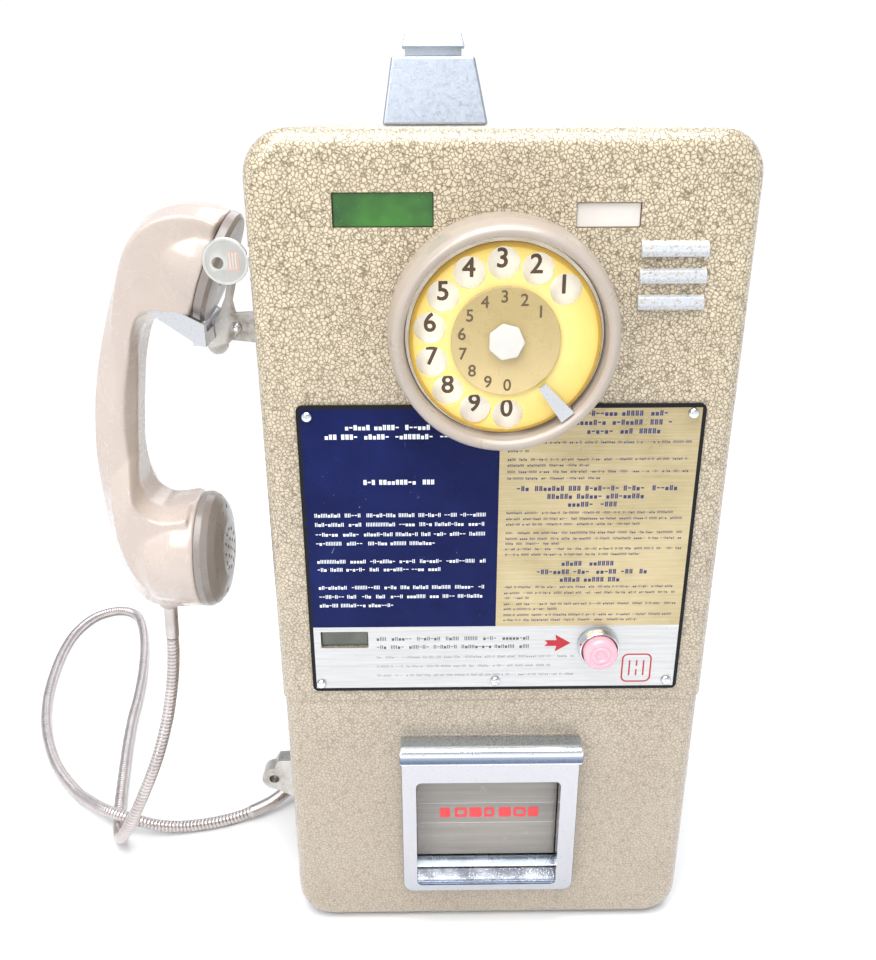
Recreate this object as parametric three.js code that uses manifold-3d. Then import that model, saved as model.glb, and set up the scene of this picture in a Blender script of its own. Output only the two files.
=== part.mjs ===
// A wall payphone for tokens: hammered-enamel case in two covers, rotary dial, handset on a side hook,
// armoured cord, token chute on top and a token return cup below. Millimetres, +Z up, front towards -Y,
// origin at the centre of the base.
import * as THREE from 'three';
import { mergeVertices } from 'three/addons/utils/BufferGeometryUtils.js';
import Module from 'manifold-3d';

const wasm = await Module();
wasm.setup();

// ---------------------------------------------------------------- driving dimensions
const WIDTH = 220;
const HEIGHT = 432;
const DEPTH = 155;
const FRONT = -DEPTH / 2;
const BACK = DEPTH / 2;
const CORNER_RADIUS = 20;
const EDGE_RADIUS = 9;
const SHEET = 2.5;
const GAP = 0.3;
const SEAM_Z = 154;
const LOWER_INSET = 0.8;
const COVER_REAR = BACK - 4;
const CHASSIS_REAR = COVER_REAR + GAP;
const LOWER_FRONT = FRONT + LOWER_INSET;

const DIAL = { x: 0, z: 349.3, bezel: 49.8, hole: 36, finger: 32, fingerHole: 6.6, holes: 10 };
const DIAL_FIRST_HOLE = THREE.MathUtils.degToRad(41.4);
const DIAL_HOLE_STEP = THREE.MathUtils.degToRad(360 / 14);
const DIAL_STOP = THREE.MathUtils.degToRad(-50);
const DIAL_GEAR = { y: FRONT - 6, thickness: 4, teeth: 40, pinionTeeth: 10, module: 1 };
const GOVERNOR = { x: 0, z: DIAL.z + 25 };

const PLATE = { x0: -92.7, x1: 94.5, z0: 161.2, z1: 314.8, radius: 3, thickness: 1.1 };
const PLATE_SCREWS = [[-87.7, 309.5], [88.6, 310.2], [-88.3, 165.8], [1, 166.7], [88.9, 166.4]];
const GREEN_WINDOW = { x0: -72, x1: -29.8, z0: 392.8, z1: 406.5 };
const LABEL_WINDOW = { x0: 30.8, x1: 57.8, z0: 392.3, z1: 402.1 };
const TOKEN_WINDOW = { x0: -87, x1: -63.8, z0: 187.3, z1: 196 };
const LOUVRE = { x0: 58.8, x1: 87.8, top: 386.9, height: 6.7, pitch: 11.3, count: 3, depth: 3.2 };
const BUTTON = { x: 52.5, z: 187.5, radius: 8.5, front: FRONT - 12, stemEnd: FRONT + 22 };

const RETURN = { x0: -48.5, x1: 47, z0: 29, z1: 124, openX0: -40.5, openX1: 37.2, openZ0: 39.2, openZ1: 106 };
const FLAP = { hingeY: LOWER_FRONT + 7, hingeZ: 105.5, bottomZ: 43.5, thickness: 2 };

const HOOK = { y: -15.5, pivotX: -74, pivotZ: 337, strip: 3, prongOffset: 20.5, prong: 4.4 };
const EAR = { x: -132.75, z: 365.85, radius: 28.3, tilt: THREE.MathUtils.degToRad(-23) };
const MOUTH = { x: -156.3, z: 212.7, radius: 32.2, tilt: 0 };
const HANDSET_Y = -15.5;
const LOCK = { y: -57.5, z: 376.1 };
const GLAND = { y: 28, z: 15 };
const CORD_RADIUS = 3.75;
const FERRULE_X = -181.3;
const FERRULE_TOP = 176.6;
const FRAME_X = 89.2;

// ---------------------------------------------------------------- geometry helpers
const AXES = {
  xy: [new THREE.Vector3(1, 0, 0), new THREE.Vector3(0, 1, 0), new THREE.Vector3(0, 0, 1)],
  xz: [new THREE.Vector3(1, 0, 0), new THREE.Vector3(0, 0, 1), new THREE.Vector3(0, -1, 0)],
  yz: [new THREE.Vector3(0, 1, 0), new THREE.Vector3(0, 0, 1), new THREE.Vector3(1, 0, 0)],
};

// A closed manifold solid from any closed geometry, with its faces turned outwards.
function toSolid(geometry) {
  const bare = geometry.index ? geometry.toNonIndexed() : geometry.clone();
  bare.deleteAttribute('normal');
  bare.deleteAttribute('uv');
  const merged = mergeVertices(bare, 1e-4);
  const vertProperties = merged.attributes.position.array;
  const triVerts = new Uint32Array(merged.index.array);
  const made = new wasm.Manifold(new wasm.Mesh({ numProp: 3, vertProperties, triVerts }));
  if (made.volume() >= 0) return made;
  for (let i = 0; i < triVerts.length; i += 3) {
    [triVerts[i + 1], triVerts[i + 2]] = [triVerts[i + 2], triVerts[i + 1]];
  }
  return new wasm.Manifold(new wasm.Mesh({ numProp: 3, vertProperties, triVerts }));
}

function toGeometry(solid) {
  const mesh = solid.getMesh();
  const geometry = new THREE.BufferGeometry();
  geometry.setAttribute('position', new THREE.BufferAttribute(mesh.vertProperties, 3));
  geometry.setIndex(new THREE.BufferAttribute(mesh.triVerts, 1));
  geometry.computeVertexNormals();
  return geometry;
}

function box(x0, x1, y0, y1, z0, z1) {
  const geometry = new THREE.BoxGeometry(x1 - x0, y1 - y0, z1 - z0);
  geometry.translate((x0 + x1) / 2, (y0 + y1) / 2, (z0 + z1) / 2);
  return toSolid(geometry);
}

// A box whose upper end has its own length and width, as a funnel or a casting has.
function taperedBox(lower, upper, z0, z1) {
  const geometry = new THREE.BoxGeometry(1, 1, 1);
  const position = geometry.attributes.position;
  for (let i = 0; i < position.count; i += 1) {
    const end = position.getZ(i) > 0 ? upper : lower;
    const x = position.getX(i) > 0 ? end.x1 : end.x0;
    const y = position.getY(i) > 0 ? end.y1 : end.y0;
    position.setXYZ(i, x, y, position.getZ(i) > 0 ? z1 : z0);
  }
  return toSolid(geometry);
}

// A round bar along x, y or z; the other two coordinates of its axis follow in x, y, z order.
function rod(axis, radius, from, to, a, b, sides = 24) {
  const geometry = new THREE.CylinderGeometry(radius, radius, to - from, sides);
  geometry.translate(0, (from + to) / 2, 0);
  if (axis === 'x') geometry.rotateZ(-Math.PI / 2).translate(0, a, b);
  if (axis === 'y') geometry.translate(a, 0, b);
  if (axis === 'z') geometry.rotateX(Math.PI / 2).translate(a, b, 0);
  return toSolid(geometry);
}

// An outline drawn in the plane named, extruded between two places on the third axis.
function prism(plane, shape, from, to, curveSegments = 6) {
  const geometry = new THREE.ExtrudeGeometry(shape, { depth: to - from, bevelEnabled: false, curveSegments });
  geometry.applyMatrix4(new THREE.Matrix4().makeBasis(...AXES[plane]));
  const offset = plane === 'xz' ? to : from;
  geometry.translate(...AXES[plane][2].clone().multiply(AXES[plane][2]).multiplyScalar(offset).toArray());
  return toSolid(geometry);
}

function outline(points) {
  return new THREE.Shape(points.map(([a, b]) => new THREE.Vector2(a, b)));
}

function roundedOutline(a0, a1, b0, b1, radius) {
  const shape = new THREE.Shape();
  shape.absarc(a1 - radius, b0 + radius, radius, -Math.PI / 2, 0, false);
  shape.absarc(a1 - radius, b1 - radius, radius, 0, Math.PI / 2, false);
  shape.absarc(a0 + radius, b1 - radius, radius, Math.PI / 2, Math.PI, false);
  shape.absarc(a0 + radius, b0 + radius, radius, Math.PI, Math.PI * 1.5, false);
  return shape;
}

// A turned piece: profile of [radius, height] pairs, closed by repeating its first pair if it's a ring.
function turned(profile, segments = 40) {
  return new THREE.LatheGeometry(profile.map(([r, h]) => new THREE.Vector2(r, h)), segments);
}

function turnedAlongY(profile, x, z, segments = 40) {
  return toSolid(turned(profile, segments).translate(x, 0, z));
}

// A turned piece whose axis lies in the XZ plane, with height measured outwards from a face centre.
function turnedTilted(profile, face, segments = 32) {
  const geometry = turned(profile, segments);
  geometry.rotateZ(-Math.PI / 2).rotateY(-face.tilt).translate(face.x, HANDSET_Y, face.z);
  return toSolid(geometry);
}

// A bar of changing oval section along a curve in the XZ plane: width across the plane, height within it.
function ovalSweep(curve, section, sides, steps) {
  const geometry = new THREE.CylinderGeometry(1, 1, 1, sides, steps);
  const position = geometry.attributes.position;
  for (let i = 0; i < position.count; i += 1) {
    const along = THREE.MathUtils.clamp(position.getY(i) + 0.5, 0, 1);
    const centre = curve.getPointAt(along);
    const tangent = curve.getTangentAt(along);
    const [height, width] = section(along);
    const inPlane = position.getX(i) * height;
    position.setXYZ(
      i,
      centre.x - tangent.z * inPlane,
      centre.y + position.getZ(i) * width,
      centre.z + tangent.x * inPlane,
    );
  }
  return toSolid(geometry);
}

function roundSection(radius, sides) {
  const shape = new THREE.Shape();
  for (let i = 0; i < sides; i += 1) {
    const angle = (2 * Math.PI * i) / sides;
    const [a, b] = [radius * Math.cos(angle), radius * Math.sin(angle)];
    if (i === 0) shape.moveTo(a, b);
    else shape.lineTo(a, b);
  }
  return shape;
}

function tube(points, radius, steps, sides = 10) {
  const extrudePath = new THREE.CatmullRomCurve3(points.map((p) => new THREE.Vector3(...p)));
  return toSolid(new THREE.ExtrudeGeometry(roundSection(radius, sides), { steps, extrudePath }));
}

const joined = (first, ...rest) => rest.reduce((all, next) => all.add(next), first);
const cut = (body, ...tools) => tools.reduce((left, tool) => left.subtract(tool), body);

// ---------------------------------------------------------------- finishes
const finish = (color, roughness, metalness, extra = {}) => () =>
  new THREE.MeshStandardMaterial({ color, roughness, metalness, ...extra });

const FINISH = {
  hammertone: finish(0x9c9176, 0.5, 0.25),
  zincSteel: finish(0x9d9c98, 0.45, 0.8),
  castAluminium: finish(0xb9c1c9, 0.4, 0.8),
  chrome: finish(0xe2e4e6, 0.12, 1),
  wornSteel: finish(0x8d8780, 0.4, 0.9),
  greigePlastic: finish(0xa99d8e, 0.35, 0),
  handsetPlastic: finish(0xcbbdb0, 0.25, 0),
  capPlastic: finish(0xb5a597, 0.3, 0),
  amberPlastic: finish(0xf0d060, 0.15, 0, { transparent: true, opacity: 0.6 }),
  dialOlive: finish(0xb5ab6a, 0.4, 0),
  whitePlastic: finish(0xf2f1ea, 0.35, 0),
  pinkPlastic: finish(0xf0a3b4, 0.3, 0),
  greyAcrylic: finish(0x9a948a, 0.2, 0, { transparent: true, opacity: 0.8 }),
  greenAcrylic: finish(0x1f8a2c, 0.2, 0),
  darkGlass: finish(0x3a3f35, 0.2, 0),
  labelWhite: finish(0xefe9e2, 0.4, 0),
  printedPlate: finish(0x8f8f86, 0.35, 0.6),
  blackPlastic: finish(0x26262a, 0.5, 0),
  boardGreen: finish(0x2f6b45, 0.5, 0),
  copper: finish(0xa8623a, 0.4, 0.8),
  brass: finish(0xb99b55, 0.35, 0.9),
  cordArmour: finish(0xb5a8a4, 0.35, 0.85),
};

// ---------------------------------------------------------------- case covers
// The whole case as one rounded block, shrunk by an inset; it runs past the rear so that covers can be cut.
function caseBlock(inset) {
  const shape = roundedOutline(
    -WIDTH / 2 + EDGE_RADIUS + inset,
    WIDTH / 2 - EDGE_RADIUS - inset,
    EDGE_RADIUS + inset,
    HEIGHT - EDGE_RADIUS - inset,
    CORNER_RADIUS - EDGE_RADIUS,
  );
  const geometry = new THREE.ExtrudeGeometry(shape, {
    depth: DEPTH,
    bevelThickness: EDGE_RADIUS,
    bevelSize: EDGE_RADIUS,
    bevelSegments: 4,
    curveSegments: 6,
  });
  geometry.applyMatrix4(new THREE.Matrix4().makeBasis(...AXES.xz));
  geometry.translate(0, FRONT + EDGE_RADIUS + inset + DEPTH, 0);
  return toSolid(geometry);
}

function windowHole(area) {
  return box(area.x0, area.x1, FRONT - 10, FRONT + 10, area.z0, area.z1);
}

function louvreRib(index) {
  const top = LOUVRE.top - index * LOUVRE.pitch;
  const bottom = top - LOUVRE.height;
  const shape = outline([
    [FRONT + 1, top],
    [FRONT - LOUVRE.depth * 0.6, top - 1.4],
    [FRONT - LOUVRE.depth, top - 3.4],
    [FRONT - LOUVRE.depth, bottom + 0.6],
    [FRONT + 1, bottom + 0.6],
  ]);
  return prism('yz', shape, LOUVRE.x0, LOUVRE.x1);
}

function louvreSlit(index) {
  const bottom = LOUVRE.top - index * LOUVRE.pitch - LOUVRE.height;
  return box(LOUVRE.x0 + 2, LOUVRE.x1 - 2, FRONT - 1.6, FRONT + 10, bottom - 1.5, bottom + 2.2);
}

function upperCover() {
  const upperHalf = box(-WIDTH, WIDTH, FRONT - 5, COVER_REAR, SEAM_Z + GAP, HEIGHT + 5);
  const shell = caseBlock(0).intersect(upperHalf).subtract(caseBlock(SHEET));
  const louvres = Array.from({ length: LOUVRE.count }, (_, i) => i);
  const withRibs = joined(shell, ...louvres.map(louvreRib));
  const inwardEnd = FRONT + 10;
  return cut(
    withRibs,
    ...louvres.map(louvreSlit),
    ...[GREEN_WINDOW, LABEL_WINDOW, TOKEN_WINDOW].map(windowHole),
    ...PLATE_SCREWS.map(([x, z]) => rod('y', 1.9, FRONT - 1, inwardEnd, x, z, 10)),
    rod('y', DIAL.hole, FRONT - 1, inwardEnd, DIAL.x, DIAL.z, 40),
    rod('y', 6.6, FRONT - 1, inwardEnd, BUTTON.x, BUTTON.z, 20),
    rod('x', 8.5, -WIDTH / 2 - 1, -WIDTH / 2 + 10, LOCK.y, LOCK.z, 20),
    box(-45, -13, -8, 8, HEIGHT - 10, HEIGHT + 1),
    box(-WIDTH / 2 - 1, -WIDTH / 2 + 10, -24, BACK, 320, 358),
  );
}

function lowerCover() {
  const lowerHalf = box(-WIDTH, WIDTH, FRONT - 5, COVER_REAR, 0.5, SEAM_Z - GAP);
  const shell = caseBlock(LOWER_INSET).intersect(lowerHalf).subtract(caseBlock(LOWER_INSET + SHEET));
  return cut(
    shell,
    box(-44, 41, FRONT - 5, FRONT + 20, 32.6, 113),
    box(-85, 85, FRONT + 16, BACK, -1, 10),
    box(-WIDTH / 2 - 1, -WIDTH / 2 + 14, 18, BACK, 5.5, 27),
  );
}

// ---------------------------------------------------------------- chassis
function backPlate() {
  const plate = prism('xz', roundedOutline(-106, 106, 1, 428.5, 17), CHASSIS_REAR, BACK);
  const holes = [-80, 80].flatMap((x) => [60, 390].map((z) => [x, z]));
  return cut(plate, ...holes.map(([x, z]) => rod('y', 3.5, BACK - 10, BACK + 1, x, z, 16)));
}

function basePlate() {
  return box(-84, 84, FRONT + 17.5, CHASSIS_REAR - GAP, 0, 4);
}

function mechanismShelf() {
  const shelf = box(-104, 104, -45, CHASSIS_REAR - GAP, 146, 149);
  return cut(shelf, box(-16, 16, -30, 12, 140, 155));
}

function leftFrame() {
  const shape = outline([
    [-66, SEAM_Z - 4.7], [CHASSIS_REAR - GAP, SEAM_Z - 4.7], [CHASSIS_REAR - GAP, 404], [-34, 404],
    [-34, 355], [-61.8, 355], [-61.8, 363.8], [-66, 363.8],
  ]);
  const plate = prism('yz', shape, -FRAME_X - 2, -FRAME_X);
  return cut(plate, box(-FRAME_X - 5, -FRAME_X + 5, -24, -7, 316, 354), box(-95, -85, 20, 60, 180, 300));
}

function rightFrame() {
  const rear = CHASSIS_REAR - GAP;
  const shape = outline([[-45, SEAM_Z - 4.7], [rear, SEAM_Z - 4.7], [rear, 404], [-10, 404], [-45, 370]]);
  return cut(prism('yz', shape, FRAME_X, FRAME_X + 2), box(85, 95, -20, 50, 180, 340));
}

// Fills the rear of the hook's notch in the upper cover and leaves the lever its own slot.
function hookGuard() {
  const outer = -WIDTH / 2;
  const skin = box(outer, outer + 2.2, -23.4, 73, 320.6, 357.4);
  const flange = box(outer + 1, -FRAME_X - 2.4, 70, 73, 320.6, 357.4);
  return cut(joined(skin, flange), box(outer - 1, outer + 5, -20.5, -10.5, 324.5, 354.5));
}

function hookBracket() {
  const cheeks = box(-88.9, -62, -23, -8, 326, 348).subtract(box(-90, -64, -20.6, -10.4, 325, 349));
  return joined(cheeks, rod('y', 2, -21, -10, HOOK.pivotX, HOOK.pivotZ, 16));
}

function hookSwitch() {
  return joined(box(-86, -64, -20, -11, 310, 321), box(-82, -78, -17, -14, 320, 324));
}

// ---------------------------------------------------------------- token path
function coinChute() {
  const lower = { x0: -53, x1: -3.5, y0: -17.5, y1: 17 };
  const upper = { x0: -48.5, x1: -9.8, y0: -11, y1: 10.5 };
  const funnel = taperedBox(lower, upper, HEIGHT + GAP, 462);
  return cut(funnel, box(-42.4, -15.6, -2.4, 2.4, HEIGHT - 5, 470));
}

function slotHead() {
  const neck = box(-42.2, -15.8, -6, 6, 462.3, 467);
  const head = taperedBox(
    { x0: -43.6, x1: -14.4, y0: -7.5, y1: 7.5 },
    { x0: -42, x1: -16, y0: -5.8, y1: 5.8 },
    466,
    472,
  );
  return cut(joined(neck, head), box(-41.2, -16.8, -2.4, 2.4, 455, 475));
}

function tokenChannel() {
  const band = outline([[-46, 410], [-12, 410], [-12, 380], [58, 330], [58, 296], [24, 296], [24, 318], [-46, 368]]);
  const path = outline([[-43, 411], [-15, 411], [-15, 378], [55, 328], [55, 295], [27, 295], [27, 320], [-43, 370]]);
  return cut(prism('xz', band, -6, 6), prism('xz', path, -2.4, 2.4));
}

function tokenSelector() {
  const body = box(18, 64, -14, 14, 236, 295.6);
  return cut(body, box(26, 56, -2.4, 2.4, 230, 300), box(30, 52, -20, -6, 246, 284));
}

function refundSolenoid() {
  const bobbin = [[0, 8], [14, 8], [14, 11], [10, 11], [10, 33], [14, 33], [14, 36], [4, 36], [4, 42], [0, 42]];
  return toSolid(turned(bobbin, 28).translate(40, 0, 0).rotateX(Math.PI / 2).translate(0, 48, 216));
}

function returnMicroswitch() {
  return joined(box(46, 59, -48, -34, 180, 195), box(50, 55, -49.6, -47, 184, 191));
}

function returnChute() {
  const shape = outline([[6, 145.6], [6, 137], [-36, 115.5], [-38, 118.5], [-2, 137.2], [-2, 145.6]]);
  const floor = prism('yz', shape, -14, 14);
  const wall = outline([[6, 145.6], [6, 137], [-36, 115.5], [-40, 124], [-18, 145.6]]);
  return joined(floor, prism('yz', wall, -15.6, -13.6), prism('yz', wall, 13.6, 15.6));
}

function cashBox() {
  const tub = box(-80, 80, -18, 66, 4.4, 108).subtract(box(-78.4, 78.4, -16.4, 64.4, 6, 110));
  return joined(tub, box(-24, 24, -23, -17, 78, 82));
}

function circuitBoard() {
  const board = box(-82, 6, 58, 60, 168, 290);
  const parts = [[-74, 180, 20, 26], [-48, 180, 20, 26], [-22, 180, 20, 26], [-74, 216, 34, 22], [-30, 220, 26, 26],
    [-74, 250, 16, 26], [-50, 250, 16, 26], [-24, 254, 22, 24]];
  return joined(board, ...parts.map(([x, z, w, h]) => box(x, x + w, 44, 59, z, z + h)));
}

// ---------------------------------------------------------------- front fittings
function instructionPlate() {
  const back = FRONT - GAP;
  const shape = roundedOutline(PLATE.x0, PLATE.x1, PLATE.z0, PLATE.z1, PLATE.radius);
  return cut(
    prism('xz', shape, back - PLATE.thickness, back),
    rod('y', 9, FRONT - 3, FRONT + 1, BUTTON.x, BUTTON.z, 28),
    windowHole(TOKEN_WINDOW),
    ...PLATE_SCREWS.map(([x, z]) => rod('y', 1.9, FRONT - 3, FRONT + 1, x, z, 10)),
    rod('y', DIAL.bezel + GAP, FRONT - 3, FRONT + 1, DIAL.x, DIAL.z, 40),
  );
}

function plateScrew([x, z]) {
  const face = FRONT - GAP - PLATE.thickness - GAP;
  const profile = [[0, face - 1.5], [1.4, face - 1.3], [2.3, face - 0.6], [2.5, face], [1.5, face],
    [1.5, FRONT + 5], [0, FRONT + 5]];
  return turnedAlongY(profile, x, z, 14);
}

// A pane held behind the sheet by its wider rim, with its face stepped forward into the cut-out.
function pane(area, faceY) {
  const rim = box(area.x0 - 3, area.x1 + 3, FRONT + SHEET + GAP, FRONT + SHEET + 2.3, area.z0 - 3, area.z1 + 3);
  return joined(rim, box(area.x0 + GAP, area.x1 - GAP, faceY, FRONT + SHEET + 1, area.z0 + GAP, area.z1 - GAP));
}

function buttonCollar() {
  const base = FRONT - GAP - PLATE.thickness - GAP;
  return turnedAlongY(
    [[8.85, base], [10.6, base], [10.6, base - 2], [10, base - 5], [9.4, base - 5.6], [8.85, base - 5], [8.85, base]],
    BUTTON.x,
    BUTTON.z,
    28,
  );
}

function returnButton() {
  const { front } = BUTTON;
  const profile = [[0, front + 0.8], [2.5, front + 0.8], [3, front], [6.6, front], [8, front + 0.8],
    [BUTTON.radius, front + 2], [BUTTON.radius, front + 5.8], [5, front + 5.8], [5, BUTTON.stemEnd], [0, BUTTON.stemEnd]];
  return turnedAlongY(profile, BUTTON.x, BUTTON.z, 28);
}

// ---------------------------------------------------------------- dial
function dialBezel() {
  const foot = FRONT - GAP;
  const profile = [[DIAL.bezel, foot], [DIAL.bezel, foot - 8], [49.3, foot - 18], [48.2, foot - 25], [46.4, foot - 28.6],
    [44.4, foot - 29.4], [42.9, foot - 28], [42.3, foot - 25], [42.3, foot - 16], [38, foot - 16], [38, foot],
    [DIAL.bezel, foot]];
  return turnedAlongY(profile, DIAL.x, DIAL.z, 48);
}

function numberPlate() {
  const back = FRONT - GAP - 16 - GAP;
  const disc = [[4.5, back], [42, back], [42, back - 1.6], [4.5, back - 1.6], [4.5, back]];
  return turnedAlongY(disc, DIAL.x, DIAL.z, 44);
}

function fingerHoleCentre(index) {
  const angle = DIAL_FIRST_HOLE + index * DIAL_HOLE_STEP;
  return [DIAL.x + DIAL.finger * Math.cos(angle), DIAL.z + DIAL.finger * Math.sin(angle)];
}

function fingerWheel() {
  const back = FRONT - 21.6;
  const rim = 40.5;
  const profile = [[0, back], [rim, back], [rim, back - 1.4], [rim - 1.4, back - 2.8], [0, back - 2.8]];
  const wheel = turnedAlongY(profile, DIAL.x, DIAL.z, 44);
  const shaftEnd = DIAL_GEAR.y + DIAL_GEAR.thickness + 24;
  const shaft = rod('y', 4, back - 1, shaftEnd, DIAL.x, DIAL.z, 16);
  const holes = Array.from({ length: DIAL.holes }, (_, i) => fingerHoleCentre(i));
  return cut(joined(wheel, shaft), ...holes.map(([x, z]) => rod('y', DIAL.fingerHole, back - 5, back + 2, x, z, 20)));
}

function centrePlate() {
  const back = FRONT - 24.7;
  return turnedAlongY([[0, back], [22.8, back], [22.8, back - 0.8], [22, back - 1.3], [0, back - 1.3]], DIAL.x, DIAL.z);
}

function dialCap() {
  const back = FRONT - 26.3;
  return turnedAlongY([[0, back], [7.8, back], [7.8, back - 1.8], [7, back - 2.6], [0, back - 2.6]], DIAL.x, DIAL.z, 7);
}

function fingerStop() {
  const front = FRONT - 28.6;
  const blade = outline([[24, -1.6], [25.4, -2], [41.9, -3.4], [41.9, 3.4], [25.4, 2], [24, 1.6]]);
  const foot = box(41, 41.9, -3.4, 3.4, 0, 9.4);
  const arm = prism('xy', blade, 0, 1.3).add(foot);
  const placed = toGeometry(arm).applyMatrix4(new THREE.Matrix4().makeBasis(
    new THREE.Vector3(Math.cos(DIAL_STOP), 0, Math.sin(DIAL_STOP)),
    new THREE.Vector3(Math.sin(DIAL_STOP), 0, -Math.cos(DIAL_STOP)),
    new THREE.Vector3(0, 1, 0),
  ));
  return toSolid(placed.translate(DIAL.x, front, DIAL.z));
}

function dialGearCase() {
  const rim = FRONT - 16;
  const rear = FRONT + 26;
  const profile = [[0, rear], [35, rear], [35, rim], [33.4, rim], [33.4, rear - 2], [0, rear - 2]];
  const cup = turnedAlongY(profile, DIAL.x, DIAL.z, 40);
  return cut(cup, rod('y', 3.4, rear - 4, rear + 1, GOVERNOR.x, GOVERNOR.z, 14));
}

// Spur teeth as straight-sided trapezoids, thinner than half the pitch so that meshing pairs run free.
function gearOutline(teeth, phase) {
  const radius = (DIAL_GEAR.module * teeth) / 2;
  const pitchAngle = (2 * Math.PI) / teeth;
  const marks = [[-0.32, -1.05], [-0.13, 0.8], [0.13, 0.8], [0.32, -1.05]];
  const points = [];
  for (let i = 0; i < teeth; i += 1) {
    for (const [turn, rise] of marks) {
      const angle = phase + (i + turn) * pitchAngle;
      points.push([(radius + rise) * Math.cos(angle), (radius + rise) * Math.sin(angle)]);
    }
  }
  return outline(points);
}

function dialGear() {
  const { y, thickness, teeth } = DIAL_GEAR;
  const wheel = prism('xz', gearOutline(teeth, Math.PI / 2), y, y + thickness);
  const placed = toSolid(toGeometry(wheel).translate(DIAL.x, 0, DIAL.z));
  return cut(placed, rod('y', 4 + GAP, y - 1, y + thickness + 1, DIAL.x, DIAL.z, 16));
}

function governor() {
  const { y, thickness, pinionTeeth } = DIAL_GEAR;
  const phase = -Math.PI / 2 + Math.PI / pinionTeeth;
  const pinion = toGeometry(prism('xz', gearOutline(pinionTeeth, phase), y, y + thickness));
  const shaft = rod('y', 2.2, y - 2, FRONT + 25.5, GOVERNOR.x, GOVERNOR.z, 12);
  const drum = rod('y', 6.2, y + thickness + 5, y + thickness + 16, GOVERNOR.x, GOVERNOR.z, 18);
  return joined(toSolid(pinion.translate(GOVERNOR.x, 0, GOVERNOR.z)), shaft, drum);
}

// ---------------------------------------------------------------- cover lock
function lockBody() {
  const outer = -WIDTH / 2;
  const flange = outer - GAP - 1;
  const barrel = joined(
    rod('x', 8, flange, -92, LOCK.y, LOCK.z, 24),
    rod('x', 10, flange, outer - GAP, LOCK.y, LOCK.z, 24),
  );
  return cut(barrel, rod('x', 5.4, flange - 1, -90, LOCK.y, LOCK.z, 20));
}

function lockPlug() {
  const plug = rod('x', 5, -WIDTH / 2 - 1.2, -91.8, LOCK.y, LOCK.z, 20);
  return cut(plug, box(-WIDTH / 2 - 3, -94, LOCK.y - 1.25, LOCK.y + 1.25, LOCK.z - 3.8, LOCK.z + 3.8));
}

function lockCam() {
  const cam = box(-91.4, -89, LOCK.y - 4, LOCK.y + 17, LOCK.z - 4, LOCK.z + 4);
  return joined(cam, rod('x', 5, -91.4, -89, LOCK.y, LOCK.z, 16));
}

function key() {
  const bow = rod('y', 10.4, LOCK.y - 1, LOCK.y + 1, -122.8, LOCK.z, 32);
  const blade = box(-118, -96, LOCK.y - 0.8, LOCK.y + 0.8, LOCK.z - 3.2, LOCK.z + 3.2);
  return cut(joined(bow, blade), rod('y', 2.7, LOCK.y - 3, LOCK.y + 3, -126.4, LOCK.z - 0.8, 16));
}

// ---------------------------------------------------------------- token return
function returnFrame() {
  const back = LOWER_FRONT - GAP;
  const front = back - 7.5;
  const slab = prism('xz', roundedOutline(RETURN.x0, RETURN.x1, RETURN.z0, RETURN.z1, 6), front, back);
  const hood = new THREE.Shape();
  hood.moveTo(back, 130.8);
  hood.absarc(back - 6.3, 124.5, 6.3, Math.PI / 2, Math.PI, false);
  hood.lineTo(back - 12.6, 120.8);
  hood.lineTo(back, 120.8);
  const opening = roundedOutline(RETURN.openX0, RETURN.openX1, RETURN.openZ0, RETURN.openZ1, 3);
  const sill = outline([[front - 1, 35.8], [back + 1, 39.3], [back + 1, 50], [front - 1, 50]]);
  return cut(
    joined(slab, prism('yz', hood, RETURN.x0 - 0.8, RETURN.x1 + 0.8)),
    prism('xz', opening, front - 20, back + 5),
    prism('yz', sill, RETURN.openX0, RETURN.openX1),
  );
}

// The token cup: its floor rises to a lip under the flap, so that tokens stay in the trough behind it.
function returnCup() {
  const front = LOWER_FRONT + 0.5;
  const rear = -27;
  const shell = box(-43.4, 40.4, front, rear, 33.2, 112.4);
  const hollow = box(-41.6, 38.6, front - 1, rear - 1.6, 48, 110.8);
  const scoop = outline([[front - 1, 39.4], [front + 3, 41], [front + 5.2, 42.3], [front + 7.8, 42.3],
    [front + 11, 36.5], [rear - 14, 36.5], [rear - 1.6, 47], [rear - 1.6, 60], [front - 1, 60]]);
  return cut(
    shell,
    hollow,
    prism('yz', scoop, -41.6, 38.6),
    box(-20, 20, -45, rear - 1.6, 105, 115),
  );
}

function returnFlap() {
  const { hingeY, hingeZ, bottomZ, thickness } = FLAP;
  const sheet = box(-40.6, 37.6, hingeY - thickness / 2, hingeY + thickness / 2, bottomZ, hingeZ);
  const sleeve = rod('x', 2.6, -40.6, 37.6, hingeY, hingeZ, 16);
  return cut(joined(sheet, sleeve), rod('x', 1.5, -45, 45, hingeY, hingeZ, 12));
}

function flapPin() {
  return rod('x', 1.2, -41.3, 38.3, FLAP.hingeY, FLAP.hingeZ, 12);
}

function padlockLug() {
  const shape = new THREE.Shape();
  shape.moveTo(-109.5, 54);
  shape.lineTo(-109.5, 80);
  shape.lineTo(-124, 79);
  shape.lineTo(-127, 73.5);
  shape.absarc(-126.8, 66.2, 7.3, Math.PI * 0.52, Math.PI * 1.5, false);
  shape.lineTo(-118, 54);
  return cut(prism('xz', shape, -33, -23), rod('y', 2.9, -40, -15, -126.8, 66.2, 16));
}

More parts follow.
